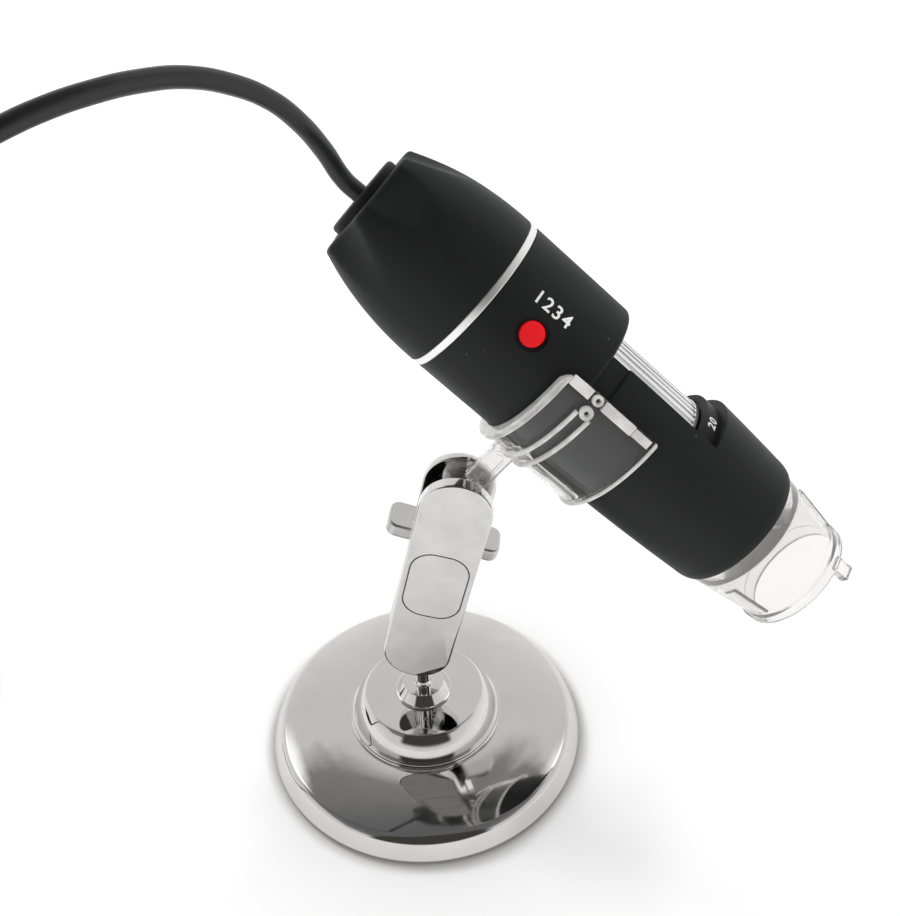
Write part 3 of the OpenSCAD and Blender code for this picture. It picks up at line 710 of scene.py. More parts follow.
class Finishes:
    """The finishes of this object."""

    SOFT_BLACK = SoftTouch("soft_touch_black", "black_plastic", (0.0064, 0.0068, 0.0074), 0.56, 3600, 0.01)
    DARK = Finish("dark_moulding", "dark_plastic", (0.02, 0.02, 0.021), 0.5)
    RED = Finish("red_button", "red_plastic", (0.84, 0.004, 0.008), 0.4, 3000, 0.004, 0.05, 0.22)
    CHROME = Plated("base_chrome", "chrome", (0.68, 0.67, 0.658), 0.03)
    DRUM = Plated("drum_chrome", "chrome", (0.86, 0.86, 0.865), 0.24)
    RING = Plated("ring_foil", "chrome", (0.95, 0.95, 0.95), 0.38)
    ARM = Satin("arm_satin", "brushed", (0.76, 0.755, 0.74), 0.5)
    ARM_EDGE = Plated("arm_polished", "brushed", (0.70, 0.695, 0.685), 0.07)
    ARM_LINE = Plated("arm_groove", "brushed", (0.16, 0.157, 0.152), 0.4)
    NUT = Plated("nut_plating", "chrome", (0.60, 0.595, 0.58), 0.36)
    STEEL = Plated("plain_steel", "steel", (0.56, 0.56, 0.57), 0.22)
    CLEAR = Clear("clear_moulding", "clear_plastic", (0.985, 0.985, 0.98), 0.0, bend=1.36, clear=0.978)
    CONE = Clear("clear_cone", "clear_plastic", (0.975, 0.962, 0.95), 0.02, clear=0.87)
    # painted highlight: mostly milky white in mottled streaks, standing in for the bright refraction of the thick clear
    # rims
    EDGE = Clear("clear_edge_painted_highlight", "clear_plastic", (0.99, 0.985, 0.975), 0.02, clear=0.4, cloud=0.12)
    FROST = Clear("frosted_bar", "clear_plastic", (0.97, 0.955, 0.935), 0.03, clear=0.3, cloud=0.1)
    MILK = Clear("milky_stem", "clear_plastic", (0.97, 0.962, 0.95), 0.03, clear=0.8)
    GLASS = Clear("lens_glass", "lens_glass", (0.86, 0.93, 0.96), 0.0, bend=1.52)
    BOARD = Finish("green_board", "board", (0.02, 0.11, 0.05), 0.35, 900, 0.01)
    LAMP_BOARD = Finish("white_board", "white_plastic", (0.72, 0.72, 0.69), 0.45, 900)
    LAMP = Finish("lamp_epoxy", "white_plastic", (0.84, 0.83, 0.70), 0.18, 900, 0.004)
    BRASS = Plated("pin_brass", "brass", (0.62, 0.46, 0.18), 0.2)
    PAD = Finish("foot_foam", "pad", (0.022, 0.022, 0.022), 0.85, 1500, 0.06, 0.3)
    CORD = Jacket("cord_jacket", "cord", (0.0085, 0.0087, 0.0092), 0.36)
    WIRE = Finish("wire_skin", "wire", (0.40, 0.02, 0.02), 0.4)
    WHITE = Finish("white_moulding", "white_plastic", (0.74, 0.74, 0.70), 0.4)
    INK = Finish("white_print", "white_plastic", (0.80, 0.80, 0.79), 0.5, 3000, 0.002)


def dress(piece: Piece, finish: Finish, body: Body, *nodes: str) -> Piece:
    """Give a new piece its finish, its body and the solids that it stands for.

    Args:
        piece: the finished mesh or curve.
        finish: finish of the whole piece.
        body: body that carries it.
        nodes: solids that it replaces.

    Returns:
        The piece.
    """
    piece.data.materials.clear()
    piece.data.materials.append(finish.material())
    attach(piece, body.value)
    if nodes:
        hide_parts(*nodes)
    LOG.info("piece %s on %s for %s", piece.name, body.value, ", ".join(nodes) or "no solid")
    return piece


def fit(piece: Piece, where: Matrix, finish: Finish, body: Body, *nodes: str, angle: float = 32) -> Piece:
    """Put a modelled piece in its place, shade it smooth and dress it.

    Args:
        piece: the piece, in its own frame.
        where: its place.
        finish: finish of the whole piece.
        body: body that carries it.
        nodes: solids that it replaces.
        angle: angle from which an edge stays sharp.

    Returns:
        The piece.
    """
    Bench.place(piece, where)
    Bench.smooth(piece, angle)
    return dress(piece, finish, body, *nodes)


def coat(finish: Finish, *nodes: str) -> None:
    """Give solids that stay in view their finish.

    Args:
        finish: finish of each whole solid.
        nodes: the solids.
    """
    for name in nodes:
        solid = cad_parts[name]
        solid.data.materials.clear()
        solid.data.materials.append(finish.material())
        LOG.info("solid %s in %s", name, finish.name)


@dataclass
class Studio:
    """Camera, pale floor and soft light."""

    seat: Point = (0.029104, -0.164337, 0.216550)
    right: Point = (0.994567, 0.099004, -0.032177)
    up: Point = (-0.036584, 0.621757, 0.782398)
    lens: float = 43.14
    sensor: float = 36.0
    near: float = 0.005
    floor_size: float = 12.0
    floor_drop: float = 2e-5
    floor_tone: Colour = (0.92, 0.92, 0.92)
    floor_glow: float = 1.15
    # painted shadow: the floor's colour darkens to this tone in a ring hugging the base's edge, fading out between
    # these radii in metres
    painted_shadow_span: Span = (0.0362, 0.0402)
    painted_shadow_tone: Colour = (0.5, 0.485, 0.48)
    shade: Span = (0.036, 0.075)
    shade_share: float = 0.36
    room: float = 0.9
    tilt: Point = (0, -0.35, 1)
    clouds: float = 0.24
    cloud_scale: float = 3.4
    ceiling: tuple[Span, ...] = ((0.35, 0.84), (0.62, 0.76), (0.69, 0.28))
    front: Point = (0.13, -0.99, 0)
    front_edge: Span = (0.76, 0.84)
    front_foot: Span = (0.06, 0.2)
    front_tone: Colour = (0.065, 0.058, 0.052)
    glows: tuple[Point, ...] = ((-0.61, 0.34, 0.72), (0.47, 0.38, 0.80))
    glow_edge: Span = (0.975, 0.995)
    glow_tone: Colour = (1.6, 1.6, 1.58)
    aim: Point = (0, 0, 0.08)

    def camera(self) -> None:
        """Set the camera at the photograph's viewing angle."""
        data = bpy.data.cameras.new("camera")
        data.sensor_fit, data.sensor_width, data.lens = "HORIZONTAL", self.sensor, self.lens
        data.clip_start = self.near
        camera = Bench.added("camera", data)
        right, up = Vector(self.right), Vector(self.up)
        turn = Matrix((right, up, right.cross(up))).transposed().to_4x4()
        camera.matrix_world = Matrix.Translation(self.seat) @ turn
        bpy.context.scene.camera = camera
        bpy.context.scene.view_settings.view_transform = "Standard"

    def seen(self, tree: Tree) -> Socket:
        """Pick out the rays that show the background to the eye, in a mirror or through glass.

        Args:
            tree: node tree of the floor or the sky.

        Returns:
            1 for such rays and 0 for others.
        """
        total = grown(tree, "LightPath", {}, "Is Camera Ray")
        for name in ("Is Glossy Ray", "Is Transmission Ray"):
            total = grown(tree, "Math", {0: total, 1: grown(tree, "LightPath", {}, name)}, operation="MAXIMUM")
        return total

    def ramp(self, tree: Tree, fac: Socket, edges: Span, most: float = 1) -> Socket:
        """Return a value that rises softly from 0 to most between two edges."""
        return grown(tree, "MapRange", {"Value": fac, "From Min": edges[0], "From Max": edges[1], "To Max": most},
                     interpolation_type="SMOOTHSTEP")

    def toward(self, tree: Tree, spot: Socket, aim: Point) -> Socket:
        """Return how far a direction goes along an aim."""
        return grown(tree, "VectorMath", {0: spot, 1: aim}, "Value", operation="DOT_PRODUCT")

    def floor(self) -> None:
        """Lay a pale floor that glows, but not near the object, where its shadow lies; its colour holds a painted
        shadow, darker in a ring around the base.
        """
        Bench.clear()
        bpy.ops.mesh.primitive_grid_add(x_subdivisions=4, y_subdivisions=4, size=self.floor_size,
                                        location=(0, 0, -self.floor_drop))
        floor = Bench.named("floor")
        bpy.ops.object.transform_apply(location=True, rotation=True, scale=True)
        surface = Surface("pale_floor")
        tree = surface.tree
        surface.set(Roughness=0.9, Specular_IOR_Level=0.1)
        away = grown(tree, "VectorMath", {0: surface.spot}, "Value", operation="LENGTH")
        # painted shadow: the colour goes from the dark tone at the base's edge to the plain floor tone a few
        # millimetres out
        surface.paint(self.ramp(tree, away, self.painted_shadow_span), self.painted_shadow_tone, self.floor_tone)
        glow = grown(tree, "Emission", {"Strength": self.floor_glow})
        lit = self.ramp(tree, away, self.shade, self.shade_share)
        share = grown(tree, "Math", {0: self.seen(tree), 1: lit}, operation="MULTIPLY")
        mix = grown(tree, "MixShader", {"Fac": share, 1: surface.shader.outputs[0], 2: glow})
        tree.links.new(mix, tree.nodes["Material Output"].inputs["Surface"])
        floor.data.materials.append(surface.material)

    def overhead(self, tree: Tree, spot: Socket) -> Socket:
        """Paint the ceiling, which grows darker upwards with uneven edges.

        Args:
            tree: node tree of the sky.
            spot: direction of the ray.

        Returns:
            The ceiling's colour.
        """
        cloud = grown(tree, "TexNoise", {"Scale": self.cloud_scale, "Detail": 3, "Vector": spot}, "Fac")
        height = self.toward(tree, spot, self.tilt)
        uneven = grown(tree, "Math", {0: cloud, 1: self.clouds, 2: height}, operation="MULTIPLY_ADD")
        level = grown(tree, "Math", {0: uneven, 1: self.clouds / 2}, operation="SUBTRACT")
        ceiling = grown(tree, "ValToRGB", {"Fac": level}, "Color")
        stops = ceiling.node.color_ramp.elements
        stops[0].position, stops[0].color = 0.10, (1, 1, 1, 1)
        stops[1].position, stops[1].color = 0.95, (0.15, 0.15, 0.155, 1)
        for position, tone in self.ceiling:
            stops.new(position).color = (tone, tone, 0.985 * tone, 1)
        return ceiling

    def sky(self) -> None:
        """Light the room evenly: white to the eye, and in mirrors and glass with a dimmer ceiling and front side."""
        world = bpy.data.worlds.new("room")
        world.use_nodes = True
        tree = world.node_tree
        even = tree.nodes["Background"]
        even.inputs["Color"].default_value, even.inputs["Strength"].default_value = (1, 1, 1, 1), self.room
        spot = grown(tree, "TexCoord", {}, "Generated")
        level = grown(tree, "VectorMath", {0: spot, 1: (1, 1, 0)}, operation="MULTIPLY")
        heading = grown(tree, "VectorMath", {0: level}, operation="NORMALIZE")
        front = self.ramp(tree, self.toward(tree, heading, self.front), self.front_edge)
        high = self.ramp(tree, grown(tree, "SeparateXYZ", {0: spot}, "Z"), self.front_foot)
        share = grown(tree, "Math", {0: front, 1: high}, operation="MULTIPLY")
        colour = blended(tree, share, self.overhead(tree, spot), self.front_tone)
        for aim in self.glows:
            near = self.toward(tree, spot, Vector(aim).normalized())
            colour = blended(tree, self.ramp(tree, near, self.glow_edge), colour, self.glow_tone)
        eye = grown(tree, "LightPath", {}, "Is Camera Ray")
        walls = grown(tree, "Background", {"Color": blended(tree, eye, colour, (1, 1, 1))})
        mix = grown(tree, "MixShader", {"Fac": self.seen(tree), 1: even.outputs[0], 2: walls})
        tree.links.new(mix, tree.nodes["World Output"].inputs["Surface"])
        bpy.context.scene.world = world

    def lamp(self, name: str, seat: Point, size: float, power: float) -> None:
        """Hang a square soft lamp that faces the object.

        Args:
            name: name of the lamp.
            seat: where it hangs, in metres.
            size: length of its side.
            power: power in watts.
        """
        data = bpy.data.lights.new(name, "AREA")
        data.shape, data.size, data.energy = "SQUARE", size, power
        lamp = Bench.added(name, data)
        turn = (Vector(self.aim) - Vector(seat)).to_track_quat("-Z", "Y").to_matrix().to_4x4()
        lamp.matrix_world = Matrix.Translation(seat) @ turn
        lamp.visible_camera = lamp.visible_transmission = lamp.visible_glossy = False

    def build(self) -> None:
        """Build the camera, floor, room and lamps."""
        self.camera()
        self.floor()
        self.sky()
        self.lamp("key", (-0.52, 0.36, 0.66), 0.2, 2.2)
        self.lamp("fill", (0.40, 0.46, 0.76), 0.13, 1.2)


@dataclass
class Cord:
    """Cord from the gland to its coil, tie and plug."""

    thick: float = 3.5
    gland: float = 1.6
    centre: Span = (-141, -6)
    coil_r: float = 28
    pitch: float = 3.95
    turns: float = 7.5
    rings: int = 24
    bed: float = 2.35
    plug_y: float = -15
    plug_z: float = 4.1
    boot_len: float = 10
    grip_len: float = 22
    way: tuple[Point, ...] = (
        (-13, 12.5, 142.5), (-16, 9, 149), (-19.5, 5.5, 154), (-24, 1, 158), (-29, -4.5, 161), (-34, -10.5, 162.5),
        (-39, -16.5, 163), (-44.5, -22, 162.5), (-50, -26.5, 161), (-57.5, -31, 158), (-66, -34.2, 153.5),
        (-75, -36.2, 147), (-84, -37, 138), (-92, -37, 127), (-98.5, -36.8, 115), (-103.2, -36.5, 102),
        (-106.6, -36.2, 88), (-109, -36, 74), (-110.8, -35.9, 60), (-112, -35.8, 46.5), (-112.7, -35.6, 34),
        (-113, -34.8, 23.5), (-113, -32.6, 14.5), (-113, -28.6, 8), (-113, -23, 4))

    def exit(self) -> Vector:
        """Return where the cord leaves the gland, in millimetres."""
        return POSE.scope().to_translation() / MM - self.gland * POSE.along()

    def lead(self) -> list[Vector]:
        """Lay the way from the gland down to the coil.

        Returns:
            Points along it, in millimetres.
        """
        start = self.exit()
        x, y = self.centre[0] + self.coil_r, self.centre[1] - self.thick
        down = [Vector((x, y - k * self.thick, self.bed)) for k in (2, 1, 0)]
        return [start, start - self.thick * POSE.along(), *(Vector(p) for p in self.way), *down]

    def coil(self) -> list[Vector]:
        """Lay the coil: in along the floor, up a layer and out again.

        Returns:
            Points along it, in millimetres.
        """
        points = []
        for i in range(int(self.turns * self.rings) + 1):
            t = i / self.rings
            radius = self.coil_r - self.pitch * min(t, self.turns - t)
            x = min(1.0, max(0.0, (t - self.turns / 2 + 0.25) / 0.5))
            lift = self.pitch * x * x * (3 - 2 * x)
            turn = 2 * math.pi * t
            points.append(Vector((self.centre[0] + radius * math.cos(turn), self.centre[1] + radius * math.sin(turn),
                                  self.bed + lift)))
        return points

    def tail(self) -> list[Vector]:
        """Lay the way from the coil to the plug.

        Returns:
            Points along it, in millimetres.
        """
        x, y, z = self.centre[0] - self.coil_r, self.centre[1] - self.thick, self.bed + self.pitch
        bend, drop, low = 3 * self.thick, z - self.plug_z, self.plug_y - 2 * self.thick
        round_turn = [Vector((x - bend + bend * math.cos(a), low - bend * math.sin(a), z - drop * a / math.pi))
                      for a in (k * math.pi / 6 for k in range(7))]
        end = [Vector((x - 2 * bend, self.plug_y - k * self.thick, self.plug_z)) for k in (1, 0)]
        return [Vector((x, y, z)), Vector((x, y - self.thick, z)), *round_turn, *end]

    def tie(self) -> Piece:
        """Model the flat tie around the coil.

        Returns:
            The tie, in its place.
        """
        inner = self.coil_r - self.pitch * self.turns / 2 - self.thick / 2 - 0.5
        outer, top = self.coil_r + self.thick / 2 + 0.4, self.bed + self.pitch + self.thick / 2 + 0.1
        x, y = self.centre
        tie = Bench.block("soft_tie", (x - 3, y + inner - 0.5, 0), (x + 3, y + outer + 0.5, top + 0.5), 0.45)
        Bench.work(tie, Bench.block("hollow", (x - 9, y + inner, 0.5), (x + 9, y + outer, top)), Join.CUT)
        Bench.ease(tie, 0.12, 2, 60)
        return fit(tie, Matrix(), Finishes.DARK, Body.SCOPE, "cord_tie")

    def plug(self) -> list[Piece]:
        """Model the plug: ringed boot, grooved grip, shell with latch windows, and tongue.

        Returns:
            Its pieces, in their places.
        """
        x, y, z = self.centre[0] - self.coil_r - 6 * self.thick, self.plug_y, self.plug_z
        rings = [(self.thick / 2 + 0.4 + 0.12 * k + out, 2.2 * k + up, 0.12) for k in (1, 2, 3)
                 for out, up in ((0.45, 0), (0, 0.05), (0, 0.75), (0.45, 0.8))]
        bore, end = 1.78, self.boot_len
        outline = softened([(bore, 0, 0), (2.35, 0, 0.3), *rings, (3.6, end, 0.2), (bore, end, 0)], 4)
        boot = Bench.lathe("ringed_boot", outline, 128)
        Bench.place(boot, shift(x, y, z) @ turned(-90, "X"))
        start = y + self.boot_len
        front = start + self.grip_len
        grip = Bench.block("grooved_grip", (x - 7.8, start, z - 4), (x + 7.8, front, z + 4), 1.7)
        groove = Bench.block("groove", (x - 4.5, start + 4, z + 3.6), (x + 4.5, start + 5.2, z + 5), 0.3)
        for k in range(5):
            for turn in (0, 180):
                where = shift(x, 0, z) @ turned(turn, "Y") @ shift(-x, 2.8 * k, -z)
                Bench.work(grip, Bench.copy(groove, "groove_twin", where), Join.CUT)
        Bench.drop(groove)
        shell = Bench.block("latch_shell", (x - 6, front, z - 2.25), (x + 6, front + 18.8, z + 2.25), 0.4)
        hollow = Bench.block("hollow", (x - 5.7, front + 0.6, z - 1.95), (x + 5.7, front + 30, z + 1.95), 0.25)
        Bench.work(shell, hollow, Join.CUT)
        for at in (x - 3, x + 3):
            window = Bench.block("window", (at - 1.2, front + 7, z - 4), (at + 1.2, front + 9.4, z + 4), 0.2)
            Bench.work(shell, window, Join.CUT)
        tongue = Bench.block("white_tongue", (x - 5.6, front + 0.65, z - 1.85), (x + 5.6, front + 17.9, z - 0.05), 0.25)
        strip = Bench.block("strip", (x - 0.6, front + 8, z - 0.03), (x + 0.6, front + 17.2, z + 0.1), 0.05)
        strips = [Bench.copy(strip, "strip_twin", shift(off)) for off in (-3.5, -1, 1, 3.5)]
        Bench.drop(strip)
        return [fit(piece, Matrix(), finish, Body.SCOPE, *nodes) for piece, finish, nodes in (
            (boot, Finishes.DARK, ["plug_boot"]), (grip, Finishes.DARK, ["plug_grip"]),
            (shell, Finishes.RING, ["plug_shell"]), (tongue, Finishes.WHITE, ["plug_tongue"]),
            (Bench.gather("contact_strips", strips), Finishes.BRASS, []))]

    def build(self) -> None:
        route = self.lead() + self.coil() + self.tail()
        data = bpy.data.curves.new("usb_cord", "CURVE")
        data.dimensions, data.resolution_u, data.render_resolution_u = "3D", 5, 5
        data.bevel_depth, data.bevel_resolution, data.use_fill_caps = self.thick / 2 * MM, 4, True
        line = data.splines.new("BEZIER")
        line.bezier_points.add(len(route) - 1)
        for knot, at in zip(line.bezier_points, route):
            knot.co = at * MM
            knot.handle_left_type = knot.handle_right_type = "AUTO"
        piece = Bench.added("usb_cord", data)
        bpy.context.view_layer.update()
        LOG.info("cord runs %.3f m", line.calc_length())
        dress(piece, Finishes.CORD, Body.SCOPE, "cord_lead", "cord_coil", "cord_tail")
        plug = [self.tie(), *self.plug()]


@dataclass
class Barrel:
    """Black shells of the microscope, from the tail cap to the front housing."""

    body_r: float = 16.5
    tail_len: float = 24.8
    tail_r: float = 11.9
    scallop_depth: float = 2.0
    scallop_len: float = 10.5
    scallop_r: float = 12.0
    scallop_phase: float = 40.0
    ring_w: float = 1.5
    sleeve_len: float = 23.5
    wall: float = 1.8
    neck_w: float = 3.9
    neck_step: float = 0.8
    housing_len: float = 41.4
    housing_taper: float = 1.3
    button_s: float = 35.4
    button_a: float = 53.0
    button_r: float = 2.3
    proud: float = 0.35
    wheel_show: float = 18.6
    window_a1: float = 27.5
    window_span: float = 100.0
    recess_len: float = 3.4
    ribs: int = 48
    rib_depth: float = 0.6
    hub_r: float = 5.0
    gland_r: float = 8.0
    wheel_in: float = 4.4
    tube_in: float = 6.4
    recess_in: float = 2.4

    def __post_init__(self) -> None:
        """Work out the stations along the body and its inner radii."""
        self.z_sleeve = self.tail_len + self.ring_w
        self.z_neck = self.z_sleeve + self.sleeve_len
        self.z_house = self.z_neck + self.neck_w
        self.z_front = self.z_house + self.housing_len
        self.z_wheel_end = self.z_house + self.wheel_show
        self.z_chamber = self.z_wheel_end + 0.3
        self.z_recess = self.z_chamber + self.recess_len
        self.inside = self.body_r - self.wall
        self.wheel_r = self.body_r - self.wheel_in
        self.tube_r = self.body_r - self.tube_in
        self.recess_r = self.body_r - self.recess_in
        self.chamber_r = self.wheel_r + 0.5
        drop = self.body_r - self.tail_r
        self.bow_r = (self.tail_len ** 2 + drop ** 2) / (2 * drop)

    def bow(self, z: float) -> float:
        """Return the tail cap's radius at a height, before the scallops."""
        return self.body_r - self.bow_r + math.sqrt(self.bow_r ** 2 - (self.tail_len - z) ** 2)

    def scooped(self, angle: float, z: float) -> float:
        """Return the tail cap's radius with its finger scallops.

        Args:
            angle: angle around the body, in radians.
            z: height from the tail face.

        Returns:
            The radius, with soft ridges between the scallops.
        """
        floor = self.tail_r - self.scallop_depth
        tilt = math.atan((self.bow(self.scallop_len) - floor) / self.scallop_len)
        third = math.pi / 3
        off = (angle - math.radians(self.scallop_phase) + third / 2) % third - third / 2
        a, s = math.cos(off) * math.cos(tilt), math.sin(off)
        b = floor * math.cos(tilt) + z * math.sin(tilt) + self.scallop_r
        root = (a * b) ** 2 - (a * a + s * s) * (b * b - self.scallop_r ** 2)
        plain = self.bow(z)
        if root <= 0:
            return plain
        scoop = (a * b - math.sqrt(root)) / (a * a + s * s)
        soft = 0.3
        return -soft * math.log(math.exp(-plain / soft) + math.exp(-scoop / soft))

    def tail_cap(self) -> None:
        """Model the tail cap with its six scallops."""
        edge, count = 0.9, 34
        start = self.bow(0) - edge
        rear = [(self.hub_r + (start - self.hub_r) * k / 6, 0.0) for k in range(7)]
        corner = [(start + edge * math.sin(k * math.pi / 12) * (self.bow(edge) - start) / edge,
                   edge * (1 - math.cos(k * math.pi / 12))) for k in range(1, 6)]
        flank = [(self.bow(z), z) for z in (edge + (self.tail_len - 0.2 - edge) * k / count for k in range(count + 1))]
        end = self.z_sleeve + 5
        spigot, thick = self.inside - SLACK, 2.4
        within = [(self.body_r - 0.2, self.tail_len), (spigot, self.tail_len), (spigot, end), (spigot - 1.4, end),
                  (spigot - 1.4, 11.5), (self.gland_r + 0.5, thick), (self.hub_r, thick)]
        cap = Bench.lathe("tail_shell", rear + corner + flank + within, 240)
        for v in cap.data.vertices:
            r, z = math.hypot(v.co.x, v.co.y) / MM, v.co.z / MM
            plain = self.bow(z)
            outside = z < self.tail_len - 0.1 and (z < 1e-3 or r > plain - 1.0 and z < edge or r > plain - 0.05)
            if outside and r > self.hub_r:
                share = (self.scooped(math.atan2(v.co.y, v.co.x), z) - self.hub_r) / (plain - self.hub_r)
                scale = (self.hub_r + (r - self.hub_r) * share) / r
                v.co.x, v.co.y = v.co.x * scale, v.co.y * scale
        fit(cap, POSE.scope(), Finishes.SOFT_BLACK, Body.SCOPE, "tail_cap")

    def gland(self) -> None:
        """Model the round plate where the cord enters."""
        bore, face, back, deep, hub = 1.8, -1.6, 0.4, 6.2, self.hub_r - SLACK
        outline = softened([(bore, deep, 0), (bore, face, 0.3), (self.gland_r, face, 0.8), (self.gland_r, back, 0.1),
                            (hub, back, 0), (hub, deep, 0)])
        plate = Bench.lathe("gland_plate", outline, 96)
        fit(plate, POSE.scope(), Finishes.SOFT_BLACK, Body.SCOPE, "cable_gland")

    def ring(self) -> None:
        """Model the bright ring behind the sleeve."""
        low = self.inside + 0.02
        outline = softened([(low, self.tail_len, 0), (self.body_r, self.tail_len, 0.25),
                            (self.body_r, self.z_sleeve, 0.25), (low, self.z_sleeve, 0)], 4)
        ring = Bench.lathe("bright_ring", outline, 160)
        fit(ring, POSE.scope(), Finishes.RING, Body.SCOPE, "trim_ring")

    def sleeve(self) -> None:
        """Model the sleeve and the dish around its button."""
        outline = softened([(self.inside, self.z_sleeve, 0), (self.body_r, self.z_sleeve, 0.2),
                            (self.body_r, self.z_neck, 1.0), (self.inside, self.z_neck, 0)], 8)
        sleeve = Bench.lathe("sleeve_shell", outline, 200)
        Bench.place(sleeve, POSE.scope())
        hole, dish, floor = self.button_r + 0.15, self.button_r + 0.8, self.body_r - 0.5
        low, high = 12.0, 20.0
        drill = Bench.lathe("drill", [(0, low), (hole, low), (hole, floor), (dish, floor), (dish, high), (0, high)], 64)
        Bench.place(drill, POSE.radial(self.button_s, self.button_a))
        Bench.work(sleeve, drill, Join.CUT)
        Bench.ease(sleeve, 0.12, 2, 50)
        fit(sleeve, Matrix(), Finishes.SOFT_BLACK, Body.SCOPE, "main_sleeve")

    def button(self) -> None:
        """Model the red push button."""
        top, low = self.body_r + self.proud, self.inside + SLACK
        flange, step = self.button_r + 0.7, low + 0.6
        outline = softened([(0, low, 0), (flange, low, 0), (flange, step, 0), (self.button_r, step, 0),
                            (self.button_r, top + 0.02, 0.38), (0, top + 0.16, 0)], 6)
        button = Bench.lathe("red_cap", outline, 64)
        fit(button, POSE.radial(self.button_s, self.button_a), Finishes.RED, Body.BUTTON, "snap_button")

    def wheel(self) -> None:
        """Model the ribbed focus drum."""
        z0, z1 = self.z_neck - 6.6, self.z_wheel_end
        bore, rim = self.tube_r + SLACK, self.wheel_r + 0.15
        outline = [(bore, z0), (self.wheel_r - 0.3, z0), (self.wheel_r, z0 + 0.3), (self.wheel_r, z1 - 1.05),
                   (rim, z1 - 0.95), (rim, z1 - 0.2), (rim - 0.2, z1), (bore, z1)]
        drum = Bench.lathe("ribbed_drum", outline, self.ribs * 14)
        for v in drum.data.vertices:
            r, z = math.hypot(v.co.x, v.co.y) / MM, v.co.z / MM
            if r > self.wheel_r - 0.35 and z < z1 - 1.0:
                phase = (math.atan2(v.co.y, v.co.x) * self.ribs / (2 * math.pi)) % 1.0
                dip = self.rib_depth * min(1.0, max(0.0, (0.23 - abs(phase - 0.5)) / 0.15))
                v.co.x, v.co.y = v.co.x * (1 - dip / r), v.co.y * (1 - dip / r)
        fit(drum, POSE.scope(), Finishes.DRUM, Body.WHEEL, "focus_wheel", angle=24)

    def housing(self) -> None:
        """Model the front housing with its window and scale recess."""
        r0 = self.body_r - 0.3
        r1 = r0 - self.housing_taper
        rim = r1 - 0.8
        mouth, neck = rim - 1.45, self.body_r - self.neck_step
        long = self.housing_len - 3
        flank = [(r0 - self.housing_taper * x * x, self.z_house + 0.35 + (long - 0.35) * x) for x in
                 (k / 24 for k in range(25))]
        nose = [(r1 - (r1 - rim) * (1 - math.cos(x)), self.z_front - 3 * (1 - math.sin(x))) for x in
                (k * math.pi / 24 for k in range(1, 13))]
        ledge, spigot = self.z_front - 9.1, self.inside - SLACK
        lens_r, seat, tube = self.body_r - 7.5, self.z_chamber + 9, self.tube_r + SLACK
        outline = [(self.chamber_r, self.z_neck - 5), (spigot, self.z_neck - 5), (spigot, self.z_neck),
                   (neck, self.z_neck), (neck, self.z_house - 0.12), (neck + 0.1, self.z_house),
                   (r0 - 0.3, self.z_house), (r0 - 0.09, self.z_house + 0.09), *flank, *nose, (mouth, self.z_front),
                   (mouth, ledge), (lens_r, ledge), (lens_r, seat), (tube, seat), (tube, self.z_chamber),
                   (self.chamber_r, self.z_chamber)]
        shell = Bench.lathe("front_shell", outline, 210)
        middle = self.window_a1 - self.window_span / 2
        deep, floor, out = self.chamber_r - 1, self.recess_r, self.body_r + 5
        gate = Bench.lathe("gate", [(deep, self.z_neck - 0.3), (out, self.z_neck - 0.3), (out, self.z_recess),
                                    (floor, self.z_recess), (floor, self.z_chamber - 0.2),
                                    (deep, self.z_chamber - 0.2)], 61, self.window_span, middle)
        Bench.work(shell, gate, Join.CUT)
        Bench.ease(shell, 0.15, 2, 55)
        fit(shell, POSE.scope(), Finishes.SOFT_BLACK, Body.SCOPE, "front_housing")

    def marks(self) -> None:
        """Print a plain row of numbers beside the button and one on the recess floor."""
        rows = (("mark_row", "1234", 3.6, 0.0, 35.6, 33.0, self.body_r),
                ("mark_scale", "20", 2.5, 90.0, 74.2, 6.0, self.recess_r))
        for name, words, size, turn, station, angle, radius in rows:
            Bench.clear()
            bpy.ops.object.text_add()
            text = bpy.context.object
            text.data.body, text.data.size, text.data.extrude, text.data.offset = words, size * MM, 4e-5, 5e-5
            text.data.align_x, text.data.align_y, text.data.space_character = "CENTER", "CENTER", 1.2
            bpy.ops.object.convert(target="MESH")
            mark = Bench.named(name)
            Bench.place(mark, turned(turn))
            for v in mark.data.vertices:
                r, around = radius * MM + 3e-5 + v.co.z, math.radians(angle) - v.co.y / (radius * MM)
                v.co = (r * math.cos(around), r * math.sin(around), station * MM + v.co.x)
            Bench.place(mark, POSE.scope())
            dress(mark, Finishes.INK, Body.SCOPE)

    def inside_parts(self) -> None:
        """Dress the solids inside the body."""
        coat(Finishes.BOARD, "button_board", "sensor_board")
        coat(Finishes.DARK, "button_switch", "image_sensor", "lens_tube", "lens_barrel", "lens_retainer")
        coat(Finishes.STEEL, "board_screws", "led_screws", "cord_clamp")
        coat(Finishes.BRASS, "focus_pin")
        coat(Finishes.GLASS, "front_lens", "rear_lens")
        coat(Finishes.LAMP_BOARD, "led_board")
        coat(Finishes.LAMP, "leds")
        coat(Finishes.CORD, "lead_stub")
        coat(Finishes.WIRE, "lead_wires")

    def build(self) -> None:
        """Build the black shells, the drum and the button."""
        for step in (self.tail_cap, self.gland, self.ring, self.sleeve, self.button, self.wheel, self.housing,
                     self.marks, self.inside_parts):
            step()


